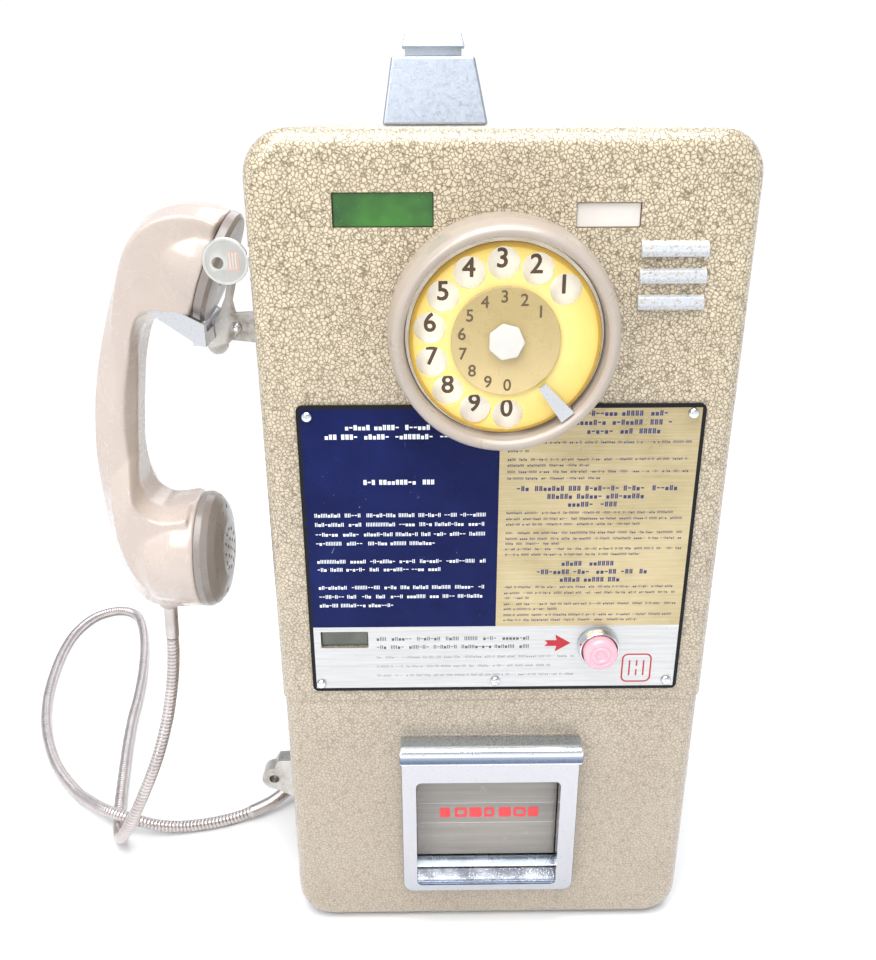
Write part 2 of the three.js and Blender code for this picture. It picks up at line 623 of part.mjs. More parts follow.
// ---------------------------------------------------------------- hook and handset
function hookLever() {
  const { y, strip, pivotX, pivotZ } = HOOK;
  const upper = [[-70, 331], [-70, 343], [-112, 345.5], [-129.4, 344.6], [-130.6, 350.5], [-128, 360], [-124.6, 368.6],
    [-128.2, 369.6], [-131.6, 361.3], [-134, 352], [-137.4, 344.8], [-139.9, 341.5], [-139.9, 331.9], [-144.8, 331.9]];
  const shape = outline(upper);
  shape.absarc(-139.6, 328.6, 5.2, Math.PI, Math.PI * 2, false);
  shape.lineTo(-132, 330.8);
  shape.lineTo(-112, 328.6);
  const plate = prism('xz', shape, y - strip / 2, y + strip / 2);
  const rivet = rod('y', 2.4, y - 3, y, -129.2, 337.4, 16);
  return cut(joined(plate, rivet), rod('y', 2.4, y - 5, y + 5, pivotX, pivotZ, 16));
}

// Two flat prongs with round ends, joined by a bar that lies on the lever's lug.
function hookFork() {
  const { y, prongOffset, prong } = HOOK;
  const side = outline([[-140.3, 332.2], [-140.3, 343.2]]);
  side.absarc(-164.2, 352, 3.6, Math.PI * 0.345, Math.PI * 1.305, false);
  side.lineTo(-143.6, 332.8);
  const prongs = [-1, 1].map((turn) => {
    const centre = y + turn * prongOffset;
    return prism('xz', side, centre - prong / 2, centre + prong / 2);
  });
  return joined(box(-147, -140.3, y - prongOffset, y + prongOffset, 332.3, 338.6), ...prongs);
}

function handsetHandle() {
  const curve = new THREE.CatmullRomCurve3([
    [-151, 371], [-166, 366], [-176, 352], [-184.6, 331], [-191.5, 305], [-196, 280], [-197.3, 260],
    [-195.5, 240], [-188, 222], [-172, 213],
  ].map(([x, z]) => new THREE.Vector3(x, HANDSET_Y, z)));
  const grip = ovalSweep(
    curve,
    (t) => {
      const nearEnds = Math.abs(2 * t - 1) ** 4;
      return [11.6 + 6.5 * nearEnds, 14 + 5 * nearEnds];
    },
    20,
    22,
  );
  const earCup = turnedTilted(
    [[0, -6], [EAR.radius, -6], [EAR.radius - 0.6, -16], [EAR.radius - 3.6, -28], [17, -36], [0, -37]],
    EAR,
  );
  const mouthCup = turnedTilted(
    [[0, -0.3], [MOUTH.radius, -0.3], [MOUTH.radius - 0.6, -12], [MOUTH.radius - 4, -26], [19, -38], [0, -40]],
    MOUTH,
  );
  const earWell = turnedTilted([[0, 2], [23, 2], [23, -20], [0, -20]], EAR);
  const mouthWell = turnedTilted([[0, 2], [26, 2], [26, -17], [0, -17]], MOUTH);
  const collar = rod('z', 6.2, FERRULE_TOP + GAP, 192, FERRULE_X, HANDSET_Y, 20);
  return cut(joined(grip, earCup, mouthCup, collar), earWell, mouthWell);
}

function earCap() {
  const profile = [[0, -5.7], [EAR.radius, -5.7], [EAR.radius, -1.6], [EAR.radius - 1.8, 0], [8, 0], [6, -1], [0, -1]];
  return turnedTilted(profile, EAR);
}

function mouthCap() {
  const profile = [[0, 0], [MOUTH.radius, 0], [MOUTH.radius, 4], [MOUTH.radius - 1.6, 7.2], [26, 10.4], [16, 12.4], [0, 13]];
  return turnedTilted(profile, MOUTH);
}

function capsule(radius, from, to, face) {
  return turnedTilted([[0, from], [radius, from], [radius, to - 2], [radius - 3, to], [0, to]], face, 28);
}

// ---------------------------------------------------------------- cord
// The armoured cord from the handset's ferrule down to the floor, back under itself in one long loop,
// over its own foot in a low hump and on to the sleeve at the gland.
const CORD_ROUTE = [
  [-182.5, -15.5, 155], [-183.4, -15.8, 142], [-185.8, -17.5, 124], [-190.4, -21.5, 101], [-197.7, -27.5, 77],
  [-207.5, -31.5, 54], [-215.8, -32.2, 37], [-223.5, -29, 22.5], [-230.5, -21, 11], [-236.3, -9, 5],
  [-241, 6.5, 4.2], [-247, 31, 4.2], [-253, 57, 4.2], [-259, 85, 4.2], [-264, 112, 4.2], [-268, 140, 4.2],
  [-274.5, 174, 4.2], [-284, 212, 4.2], [-296, 247, 4.2], [-309, 270, 4.2], [-327, 277, 4.2], [-345, 266, 4.2],
  [-353.5, 240, 4.2], [-353.5, 209, 4.2], [-348, 172, 4.2], [-339, 135, 4.2], [-324.5, 97, 4.2],
  [-303, 59, 4.2], [-279, 30.5, 5], [-264, 16.5, 7.6], [-251, 5.8, 10.8], [-239, -1.5, 12.4], [-226, -5.8, 11.6],
  [-211, -6.3, 7.2], [-196, -4.7, 4.6], [-178.6, -1.7, 4.2], [-164.4, 2.7, 4.2], [-154, 6.6, 5.3],
];
const SLEEVE_ROUTE = [
  [-153.7, 6.7, 5.34], [-146.1, 9.9, 6.8], [-137.6, 14.2, 9.2], [-129, 21.6, 12.3], [-122.5, 26.4, 14.5],
  [-119.5, 27.7, 14.95], [-116.4, 28, 15],
];
const FERRULE_ROUTE = [[FERRULE_X, HANDSET_Y, FERRULE_TOP], [-181.6, HANDSET_Y, 170], [-182.1, HANDSET_Y, 162],
  [-182.45, HANDSET_Y, 155.4]];

// Fills the rear of the cord's notch in the lower cover, following the rounded corner of the case.
function glandPlate() {
  const area = box(-WIDTH / 2, -97, 18.5, 73, 6, 26.4);
  const skin = caseBlock(LOWER_INSET).subtract(caseBlock(LOWER_INSET + 2.2)).intersect(area);
  const flange = box(-107, -86, 70, 73, 6, 26.4).intersect(caseBlock(LOWER_INSET));
  return cut(joined(skin, flange), rod('x', 6, -WIDTH / 2, -WIDTH / 2 + 14, GLAND.y, GLAND.z, 20));
}

function cordGland() {
  const outer = -WIDTH / 2 + LOWER_INSET;
  const profile = [[0, -96], [5.6, -96], [5.6, outer - GAP], [8.2, outer - GAP], [8.2, outer - 2], [6, outer - 6.6],
    [0, outer - 6.6]];
  const upright = turned(profile.map(([r, x]) => [r, -x]), 24);
  return toSolid(upright.rotateZ(Math.PI / 2).translate(0, GLAND.y, GLAND.z));
}

// ---------------------------------------------------------------- assembly
const payphone = new THREE.Group();

function place(name, solid, material) {
  const mesh = new THREE.Mesh(toGeometry(solid), material());
  mesh.name = name;
  payphone.add(mesh);
}

place('upper_cover', upperCover(), FINISH.hammertone);
place('lower_cover', lowerCover(), FINISH.hammertone);

place('back_plate', backPlate(), FINISH.zincSteel);
place('base_plate', basePlate(), FINISH.zincSteel);
place('mechanism_shelf', mechanismShelf(), FINISH.zincSteel);
place('left_frame', leftFrame(), FINISH.zincSteel);
place('right_frame', rightFrame(), FINISH.zincSteel);
place('hook_guard', hookGuard(), FINISH.hammertone);
place('hook_bracket', hookBracket(), FINISH.zincSteel);
place('hook_switch', hookSwitch(), FINISH.blackPlastic);

place('coin_chute', coinChute(), FINISH.castAluminium);
place('slot_head', slotHead(), FINISH.castAluminium);
place('token_channel', tokenChannel(), FINISH.brass);
place('token_selector', tokenSelector(), FINISH.castAluminium);
place('refund_solenoid', refundSolenoid(), FINISH.copper);
place('return_microswitch', returnMicroswitch(), FINISH.blackPlastic);
place('return_chute', returnChute(), FINISH.zincSteel);
place('cash_box', cashBox(), FINISH.zincSteel);
place('circuit_board', circuitBoard(), FINISH.boardGreen);

place('instruction_plate', instructionPlate(), FINISH.printedPlate);
PLATE_SCREWS.forEach((spot, i) => place(`plate_screw_${i + 1}`, plateScrew(spot), FINISH.chrome));
place('green_window', pane(GREEN_WINDOW, FRONT + 1.4), FINISH.greenAcrylic);
place('label_window', pane(LABEL_WINDOW, FRONT + 1.4), FINISH.labelWhite);
place('token_window', pane(TOKEN_WINDOW, FRONT + 0.6), FINISH.darkGlass);
place('button_collar', buttonCollar(), FINISH.chrome);
place('return_button', returnButton(), FINISH.pinkPlastic);

place('dial_bezel', dialBezel(), FINISH.greigePlastic);
place('number_plate', numberPlate(), FINISH.whitePlastic);
place('finger_wheel', fingerWheel(), FINISH.amberPlastic);
place('centre_plate', centrePlate(), FINISH.dialOlive);
place('dial_cap', dialCap(), FINISH.whitePlastic);
place('finger_stop', fingerStop(), FINISH.chrome);
place('dial_gear_case', dialGearCase(), FINISH.zincSteel);
place('dial_gear', dialGear(), FINISH.brass);
place('governor', governor(), FINISH.brass);

place('lock_body', lockBody(), FINISH.chrome);
place('lock_plug', lockPlug(), FINISH.brass);
place('lock_cam', lockCam(), FINISH.wornSteel);
place('key', key(), FINISH.zincSteel);

place('return_frame', returnFrame(), FINISH.chrome);
place('return_cup', returnCup(), FINISH.chrome);
place('return_flap', returnFlap(), FINISH.greyAcrylic);
place('flap_pin', flapPin(), FINISH.wornSteel);
place('padlock_lug', padlockLug(), FINISH.wornSteel);

place('hook_lever', hookLever(), FINISH.wornSteel);
place('hook_fork', hookFork(), FINISH.chrome);
place('handset_handle', handsetHandle(), FINISH.handsetPlastic);
place('ear_cap', earCap(), FINISH.capPlastic);
place('mouth_cap', mouthCap(), FINISH.capPlastic);
place('earpiece_capsule', capsule(22.4, -19.4, -8, EAR), FINISH.wornSteel);
place('microphone_capsule', capsule(25.4, -16.4, -3, MOUTH), FINISH.wornSteel);

place('cord_ferrule', tube(FERRULE_ROUTE, CORD_RADIUS + 0.2, 4), FINISH.cordArmour);
place('handset_cord', tube(CORD_ROUTE, CORD_RADIUS, 80), FINISH.cordArmour);
place('cord_sleeve', tube(SLEEVE_ROUTE, CORD_RADIUS + 0.5, 8), FINISH.cordArmour);
place('gland_plate', glandPlate(), FINISH.hammertone);
place('cord_gland', cordGland(), FINISH.wornSteel);

export default payphone;
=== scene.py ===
"""Looks of the wall payphone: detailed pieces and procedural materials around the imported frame.

The front of the phone faces -Y.
"""

import math
import random

import bmesh
import bpy
import numpy as np
from mathutils import Matrix, Vector


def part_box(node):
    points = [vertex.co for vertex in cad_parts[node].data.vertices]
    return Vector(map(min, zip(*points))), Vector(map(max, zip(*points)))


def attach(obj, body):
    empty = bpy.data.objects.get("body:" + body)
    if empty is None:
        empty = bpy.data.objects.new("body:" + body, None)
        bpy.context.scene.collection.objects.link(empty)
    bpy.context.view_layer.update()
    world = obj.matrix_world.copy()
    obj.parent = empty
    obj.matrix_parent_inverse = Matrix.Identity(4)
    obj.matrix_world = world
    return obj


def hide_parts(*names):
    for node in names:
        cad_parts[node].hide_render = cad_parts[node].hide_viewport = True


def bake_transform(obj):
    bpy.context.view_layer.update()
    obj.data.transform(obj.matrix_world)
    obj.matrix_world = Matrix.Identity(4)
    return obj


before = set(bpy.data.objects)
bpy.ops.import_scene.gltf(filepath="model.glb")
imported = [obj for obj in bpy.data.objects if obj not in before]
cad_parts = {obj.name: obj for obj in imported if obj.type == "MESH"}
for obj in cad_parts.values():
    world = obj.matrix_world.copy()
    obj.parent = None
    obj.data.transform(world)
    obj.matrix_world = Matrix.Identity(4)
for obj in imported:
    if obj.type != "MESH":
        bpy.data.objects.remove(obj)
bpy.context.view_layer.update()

MM = 0.001
ORIGIN = Vector((0, 0, 0))
X_AXIS = Vector((1, 0, 0))
Y_AXIS = Vector((0, 1, 0))


# ---------------------------------------------------------------- places taken from the frame
class Box:
    """A CAD node's box at rest, in millimetres."""

    def __init__(self, node):
        low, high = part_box(node)
        self.x0, self.y0, self.z0 = (value / MM for value in low)
        self.x1, self.y1, self.z1 = (value / MM for value in high)
        self.x, self.y, self.z = ((a + b) / (2 * MM) for a, b in zip(low, high))


UPPER = Box("upper_cover")
LOWER = Box("lower_cover")
PLATE = Box("instruction_plate")
BEZEL = Box("dial_bezel")
WHEEL = Box("finger_wheel")
NUMBERS = Box("number_plate")
CENTRE = Box("centre_plate")
CAP = Box("dial_cap")
BUTTON = Box("return_button")
COLLAR = Box("button_collar")
RETURN = Box("return_frame")
FLAP = Box("return_flap")
KEY = Box("key")

LOWER_INSET = 0.8
FRONT = LOWER.y0 - LOWER_INSET
WIDTH = UPPER.x1 - UPPER.x0
HEIGHT = UPPER.z1
COVER_REAR = UPPER.y1
CORNER_RADIUS = 20
EDGE_RADIUS = 9
SHEET = 2.5
HANDSET_Y = Box("ear_cap").y


# ---------------------------------------------------------------- camera
def placed(name, data):
    """A new object in the scene."""
    made = bpy.data.objects.new(name, data)
    bpy.context.scene.collection.objects.link(made)
    return made


def add_camera():
    """The photograph's viewpoint: slightly above the phone, looking down at it."""
    place = Vector((-31.7, -469.6, 435.5)) * MM
    pitch, yaw, roll = 0.38275, 0.0092, -0.00341
    forward = Vector((math.sin(yaw) * math.cos(pitch), math.cos(yaw) * math.cos(pitch), -math.sin(pitch)))
    level = Vector((math.cos(yaw), -math.sin(yaw), 0))
    rise = level.cross(forward)
    right = math.cos(roll) * level + math.sin(roll) * rise
    up = math.cos(roll) * rise - math.sin(roll) * level
    data = bpy.data.cameras.new("camera")
    data.lens = 33.75
    data.clip_start = 0.01
    camera = placed("camera", data)
    turn = Matrix((right, up, -forward)).transposed().to_4x4()
    camera.matrix_world = Matrix.Translation(place) @ turn
    bpy.context.scene.camera = camera


# ---------------------------------------------------------------- mesh helpers
def make(name, vertices, faces):
    """A mesh object from points in millimetres, its faces turned outwards."""
    mesh = bpy.data.meshes.new(name)
    mesh.from_pydata([tuple(c * MM for c in point) for point in vertices], [], faces)
    work = bmesh.new()
    work.from_mesh(mesh)
    bmesh.ops.recalc_face_normals(work, faces=work.faces)
    work.to_mesh(mesh)
    work.free()
    return placed(name, mesh)


def bake(piece):
    """Turns a piece's modifiers into its mesh."""
    graph = bpy.context.evaluated_depsgraph_get()
    mesh = bpy.data.meshes.new_from_object(piece.evaluated_get(graph))
    piece.modifiers.clear()
    piece.data = mesh
    return piece


def carve(piece, *cutters, operation="DIFFERENCE"):
    """Cuts pieces out of another, or joins them to it, and drops the cutters."""
    for cutter in cutters:
        modifier = piece.modifiers.new("carve", "BOOLEAN")
        modifier.operation = operation
        modifier.solver = "EXACT"
        modifier.object = cutter
    bake(piece)
    for cutter in cutters:
        bpy.data.objects.remove(cutter)
    return piece


def soften(piece, width, segments=3, angle=32):
    """Rolls a piece's sharp edges over by a small round."""
    modifier = piece.modifiers.new("round", "BEVEL")
    modifier.width = width * MM
    modifier.segments = segments
    modifier.limit_method = "ANGLE"
    modifier.angle_limit = math.radians(angle)
    return bake(piece)


def smooth(piece, angle=38):
    """Smooth shading that keeps flat faces flat and true corners sharp."""
    mesh = piece.data
    mesh.polygons.foreach_set("use_smooth", [True] * len(mesh.polygons))
    mesh.set_sharp_from_angle(angle=math.radians(angle))
    modifier = piece.modifiers.new("weigh", "WEIGHTED_NORMAL")
    modifier.keep_sharp = True
    return bake(piece)


def merged(name, pieces):
    """Several pieces as one mesh."""
    work = bmesh.new()
    for piece in pieces:
        work.from_mesh(piece.data)
        bpy.data.objects.remove(piece)
    mesh = bpy.data.meshes.new(name)
    work.to_mesh(mesh)
    work.free()
    return placed(name, mesh)


def from_node(name, node):
    """A new piece with a CAD node's shape, its triangles joined into whole faces, ready for rounding."""
    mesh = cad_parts[node].data.copy()
    mesh.materials.clear()
    work = bmesh.new()
    work.from_mesh(mesh)
    bmesh.ops.remove_doubles(work, verts=work.verts, dist=0.002 * MM)
    bmesh.ops.dissolve_limit(
        work, angle_limit=math.radians(0.5), verts=work.verts, edges=work.edges,
        use_dissolve_boundaries=False)
    clean = bpy.data.meshes.new(name)
    work.to_mesh(clean)
    work.free()
    return placed(name, clean)


def fillet(points, radius=0.0, steps=5):
    """Rounds the corners of a closed outline. A point may carry its own radius as a third value."""
    result = []
    for i, point in enumerate(points):
        here = Vector(point[:2])
        own = point[2] if len(point) > 2 else radius
        back = Vector(points[i - 1][:2]) - here
        ahead = Vector(points[(i + 1) % len(points)][:2]) - here
        if own == 0 or back.length == 0 or ahead.length == 0:
            result.append(tuple(here))
            continue
        reach = min(own / math.tan(back.angle(ahead) / 2), back.length * 0.49, ahead.length * 0.49)
        start = here + back.normalized() * reach
        end = here + ahead.normalized() * reach
        for step in range(steps + 1):
            t = step / steps
            result.append(tuple((1 - t) ** 2 * start + 2 * t * (1 - t) * here + t * t * end))
    return result


def rounded_rectangle(a0, a1, b0, b1, radius, steps=8):
    """An outline with four round corners, from the lower right corner round."""
    left, right, low, high = a0 + radius, a1 - radius, b0 + radius, b1 - radius
    centres = ((right, low), (right, high), (left, high), (left, low))
    points = []
    for quarter, (a, b) in enumerate(centres):
        for step in range(steps + 1):
            angle = math.pi / 2 * (quarter - 1 + step / steps)
            points.append((a + radius * math.cos(angle), b + radius * math.sin(angle)))
    return points


PLANES = {
    "xz": lambda a, b, c: (a, c, b),
    "yz": lambda a, b, c: (c, a, b),
    "xy": lambda a, b, c: (a, b, c),
}


def extruded(name, outline, plane, low, high):
    """A prism: an outline in the plane named, between two places on the third axis."""
    put = PLANES[plane]
    count = len(outline)
    vertices = [put(a, b, c) for c in (low, high) for a, b in outline]
    sides = [(i, (i + 1) % count, count + (i + 1) % count, count + i) for i in range(count)]
    return make(name, vertices, [tuple(range(count)), tuple(range(count, 2 * count)), *sides])


def block(name, x0, x1, y0, y1, z0, z1):
    """A box between six places."""
    return extruded(name, [(x0, z0), (x1, z0), (x1, z1), (x0, z1)], "xz", y0, y1)


def turned(name, profile, origin=ORIGIN, axis=Y_AXIS, segments=96, closed=False):
    """A lathe piece. Profile pairs are radius and height along the axis; closed makes a ring of it."""
    axis = axis.normalized()
    across = axis.orthogonal().normalized()
    other = axis.cross(across)
    vertices, rows = [], []
    for radius, height in profile:
        base = origin + axis * height
        if radius < 1e-6:
            rows.append([len(vertices)] * segments)
            vertices.append(tuple(base))
            continue
        rows.append(list(range(len(vertices), len(vertices) + segments)))
        for i in range(segments):
            angle = 2 * math.pi * i / segments
            vertices.append(tuple(base + radius * (math.cos(angle) * across + math.sin(angle) * other)))
    pairs = list(zip(rows, rows[1:]))
    if closed:
        pairs.append((rows[-1], rows[0]))
    faces = []
    for lower, upper in pairs:
        for i in range(segments):
            ring = (lower[i], lower[(i + 1) % segments], upper[(i + 1) % segments], upper[i])
            face = tuple(dict.fromkeys(ring))
            if len(face) > 2:
                faces.append(face)
    return make(name, vertices, faces)


def rod(radius, start, end, segments=48):
    """A plain round cutter between two points."""
    start, end = Vector(start), Vector(end)
    length = (end - start).length
    profile = [(0, 0), (radius, 0), (radius, length), (0, length)]
    return turned("cutter", profile, start, end - start, segments)


def spline(points, spacing):
    """Points every so many millimetres along a smooth curve through the points given."""
    given = [Vector(p) for p in points]
    ends = [2 * given[0] - given[1], *given, 2 * given[-1] - given[-2]]
    fine = []
    for a, b, c, d in zip(ends, ends[1:], ends[2:], ends[3:]):
        for step in range(24):
            t = step / 24
            fine.append(0.5 * (2 * b + (c - a) * t + (2 * a - 5 * b + 4 * c - d) * t * t
                               + (3 * b - a - 3 * c + d) * t ** 3))
    fine.append(given[-1])
    fine = np.array(fine)
    along = np.concatenate([[0], np.cumsum(np.linalg.norm(np.diff(fine, axis=0), axis=1))])
    places = np.linspace(0, along[-1], max(2, round(along[-1] / spacing)) + 1)
    return np.stack([np.interp(places, along, fine[:, k]) for k in range(3)], axis=1), places


def ring_faces(rings, sides):
    """The faces between neighbouring rings of points, each ring closed on itself."""
    faces = []
    for row in range(rings - 1):
        low, high = row * sides, (row + 1) * sides
        for i in range(sides):
            j = (i + 1) % sides
            faces.append((low + i, low + j, high + j, high + i))
    return faces


def swept(name, centres, radii):
    """A closed tube: radii holds one radius for each centre and each side."""
    tangents = np.gradient(centres, axis=0)
    tangents /= np.linalg.norm(tangents, axis=1)[:, None]
    across = np.cross(tangents[0], (0.0, 1.0, 0.0))
    sides = radii.shape[1]
    angles = np.arange(sides) * 2 * math.pi / sides
    rings = []
    for centre, tangent, row in zip(centres, tangents, radii):
        across = across - tangent * (across @ tangent)
        across /= np.linalg.norm(across)
        other = np.cross(tangent, across)
        spokes = np.cos(angles)[:, None] * across + np.sin(angles)[:, None] * other
        rings.append(centre + row[:, None] * spokes)
    vertices = np.concatenate(rings)
    count = len(centres)
    ends = [tuple(range(sides)), tuple(range((count - 1) * sides, count * sides))]
    return make(name, vertices.tolist(), ends + ring_faces(count, sides))


def finish(piece, body, slot, material, *nodes):
    """Gives a piece its material, its body and the CAD nodes that it stands for."""
    piece.data.materials.clear()
    piece.data.materials.append(material)
    if body:
        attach(piece, body)
    if nodes:
        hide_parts(*nodes)
    return piece


# ---------------------------------------------------------------- material helpers
def per_mm(size):
    """The texture scale whose features are about this many millimetres across."""
    return 1 / (size * MM)


def set_stops(node, stops):
    """Gives a colour ramp its grey levels or colours at positions."""
    elements = node.color_ramp.elements
    while len(elements) < len(stops):
        elements.new(0.5)
    for element, (position, colour) in zip(elements, stops):
        element.position = position
        element.color = (*colour, 1) if isinstance(colour, tuple) else (colour, colour, colour, 1)


class Paint:
    """A material's node tree around one Principled shader, with the piece's own coordinates."""

    def __init__(self, name, base, roughness, metallic=0.0, **sockets):
        self.material = bpy.data.materials.new(name)
        self.material.use_nodes = True
        self.tree = self.material.node_tree
        self.shader = self.tree.nodes["Principled BSDF"]
        self.set("Base Color", (*base, 1.0))
        self.set("Roughness", roughness)
        self.set("Metallic", metallic)
        for socket, value in sockets.items():
            self.set(socket.replace("_", " "), value)
        self.coordinates = self.node("TexCoord").outputs
        self.place = self.coordinates["Object"]

    def node(self, kind, **settings):
        made = self.tree.nodes.new("ShaderNode" + kind)
        for key, value in settings.items():
            setattr(made, key, value)
        return made

    def feed(self, socket, value):
        if isinstance(value, bpy.types.NodeSocket):
            self.tree.links.new(value, socket)
        else:
            socket.default_value = value

    def set(self, socket, value):
        self.feed(self.shader.inputs[socket], value)

    def noise(self, size, detail=3.0, roughness=0.6, distortion=0.0, place=None):
        made = self.node("TexNoise")
        self.feed(made.inputs["Vector"], place or self.place)
        self.feed(made.inputs["Scale"], per_mm(size))
        self.feed(made.inputs["Detail"], detail)
        self.feed(made.inputs["Roughness"], roughness)
        self.feed(made.inputs["Distortion"], distortion)
        return made.outputs[0]

    def cells(self, size, feature="F1", place=None):
        made = self.node("TexVoronoi", feature=feature)
        self.feed(made.inputs["Vector"], place or self.place)
        self.feed(made.inputs["Scale"], per_mm(size))
        return made.outputs["Distance"]

    def stretched(self, x, y, z):
        """The piece's coordinates with each axis scaled, for grain that runs one way."""
        made = self.node("Mapping")
        self.feed(made.inputs["Vector"], self.place)
        self.feed(made.inputs["Scale"], (x, y, z))
        return made.outputs[0]

    def warped(self, size, amount):
        """The piece's coordinates shaken by noise, for outlines that wander."""
        made = self.node("TexNoise")
        self.feed(made.inputs["Vector"], self.place)
        self.feed(made.inputs["Scale"], per_mm(size))
        shift = self.node("VectorMath", operation="MULTIPLY_ADD")
        self.feed(shift.inputs[0], made.outputs["Color"])
        self.feed(shift.inputs[1], (amount * MM,) * 3)
        self.feed(shift.inputs[2], self.place)
        return shift.outputs[0]

    def ramp(self, value, *stops):
        """Grey levels or colours at positions along a value."""
        made = self.node("ValToRGB")
        self.feed(made.inputs[0], value)
        set_stops(made, stops)
        return made.outputs[0]

    def maths(self, operation, first, second=0.0):
        made = self.node("Math", operation=operation)
        self.feed(made.inputs[0], first)
        self.feed(made.inputs[1], second)
        return made.outputs[0]

    def mix(self, factor, first, second, blend="MIX"):
        made = self.node("Mix", data_type="RGBA", blend_type=blend)
        self.feed(made.inputs[0], factor)
        for socket, value in ((made.inputs[6], first), (made.inputs[7], second)):
            self.feed(socket, (*value, 1.0) if isinstance(value, tuple) else value)
        return made.outputs[2]

    def bump(self, height, depth):
        made = self.node("Bump")
        self.feed(made.inputs["Height"], height)
        self.feed(made.inputs["Distance"], depth * MM)
        self.feed(made.inputs["Strength"], 1.0)
        self.set("Normal", made.outputs[0])

    def edges(self, low=0.51, high=0.56):
        """Bright where the surface is a raised edge."""
        return self.ramp(self.node("NewGeometry").outputs["Pointiness"], (low, 0.0), (high, 1.0))

    def axis(self, name):
        """One of the piece's coordinates, in millimetres."""
        parts = self.node("SeparateXYZ")
        self.feed(parts.inputs[0], self.place)
        return self.maths("MULTIPLY", parts.outputs[name], 1 / MM)

    def above(self, value, limit):
        return self.maths("GREATER_THAN", value, limit)

    def inside(self, value, low, high):
        return self.maths("MULTIPLY", self.above(value, low), self.maths("LESS_THAN", value, high))


def hammered_enamel():
    """Hammer-finish enamel: rounded light cells in a fine dark net, brown chips, painted top light that
    brightens the upper case, and speckled paler louvres, partly worn metal and partly painted highlight.
    """
    paint = Paint("case_enamel", (0.5, 0.43, 0.33), 0.4, 0.15, Coat_Weight=0.6, Coat_Roughness=0.16)
    # Painted light: towards the top of the case the cells grow brighter and the net darker, as if lit from
    # above; the lower case is painted duller and flatter.
    height = paint.maths("DIVIDE", paint.axis("Z"), HEIGHT)
    upper = paint.ramp(height, (0.2, 0.0), (0.85, 1.0))
    light = paint.mix(upper, (0.47, 0.395, 0.31), (0.70, 0.60, 0.445))
    dark = paint.mix(upper, (0.29, 0.24, 0.18), (0.14, 0.105, 0.05))
    net = paint.cells(1.75, "DISTANCE_TO_EDGE", paint.warped(2.2, 1.7))
    cover = paint.ramp(net, (0.0, 0.0), (0.05, 0.35), (0.17, 1.0))
    thin = paint.ramp(paint.noise(4.5, 3.0), (0.3, 0.8), (0.62, 1.0))
    tone = paint.mix(paint.maths("MULTIPLY", cover, thin), dark, light)
    drift = paint.ramp(paint.noise(60, 2.0), (0.35, (0.95, 0.94, 0.93)), (0.7, (1.04, 1.04, 1.03)))
    toned = paint.mix(1.0, tone, drift, "MULTIPLY")
    # Raised louvre faces turn paler bluish grey in speckles: partly worn-through metal, partly a painted
    # highlight.
    raised = paint.maths("LESS_THAN", paint.axis("Y"), FRONT - 0.7)
    bare = paint.maths("MULTIPLY", raised, paint.ramp(paint.noise(1.3, 4.0, 0.7), (0.36, 0.15), (0.52, 1.0)))
    wear_and_highlight = paint.mix(bare, toned, (0.50, 0.53, 0.57))
    spots = paint.ramp(paint.noise(13, 5.0, 0.7), (0.735, 0.0), (0.75, 1.0))
    paint.set("Base Color", paint.mix(spots, wear_and_highlight, (0.20, 0.09, 0.05)))
    paint.set("Roughness", paint.ramp(cover, (0.1, 0.55), (0.9, 0.3)))
    paint.bump(cover, 0.08)
    return paint.material


def plated(name, base=(0.72, 0.74, 0.78), low=0.07, high=0.26, pits=0.02, painted_light_levels=()):
    """Bright plating, hazy and pitted. Painted light levels are heights, each with a tint that paints
    reflection and shade bands, and a share of speckled painted shadow.
    """
    paint = Paint(name, base, low, 1.0)
    pit = paint.ramp(paint.noise(0.7, 2.0), (0.28, 1.0), (0.36, 0.0))
    tone = base
    # Painted reflections and shade: bands of tint by height, darkened to speckled blue-black painted shadow
    # where a level's share is high.
    if painted_light_levels:
        foot, head = painted_light_levels[0][0], painted_light_levels[-1][0]
        share = paint.maths("DIVIDE", paint.maths("SUBTRACT", paint.axis("Z"), foot), head - foot)
        tone = paint.ramp(share, *[((z - foot) / (head - foot), tint) for z, tint, _ in painted_light_levels])
        painted_shadow = paint.ramp(share, *[((z - foot) / (head - foot), shadow_share) for z, _, shadow_share in painted_light_levels])
        speckle = paint.ramp(paint.noise(1.1, 4.0, 0.8), (0.40, 1.0), (0.60, 0.2))
        tone = paint.mix(paint.maths("MULTIPLY", painted_shadow, speckle), tone, (0.03, 0.045, 0.09))
    paint.set("Base Color", paint.mix(pit, tone, (0.32, 0.31, 0.30)))
    paint.set("Roughness", paint.ramp(paint.noise(18, 4.0), (0.35, low), (0.75, high)))
    paint.bump(pit, pits)
    return paint.material


def metal(name, base, low, high, grain=0.03, stain=(0.30, 0.25, 0.20), stained=0.45, size=7.0):
    """Worn metal: fine grain, cloudy stain and brighter edges."""
    paint = Paint(name, base, low, 1.0)
    cloud = paint.noise(size, 6.0, 0.7)
    dirt = paint.ramp(cloud, (0.38, stained), (0.62, 0.0))
    body = paint.mix(dirt, base, stain)
    bright = tuple(min(1.0, 1.25 * c) for c in base)
    edge = paint.maths("MULTIPLY", paint.edges(), 0.8)
    paint.set("Base Color", paint.mix(edge, body, bright))
    paint.set("Roughness", paint.ramp(paint.noise(2.2, 4.0), (0.3, low), (0.7, high)))
    paint.bump(paint.noise(0.6, 5.0, 0.7), grain)
    return paint.material


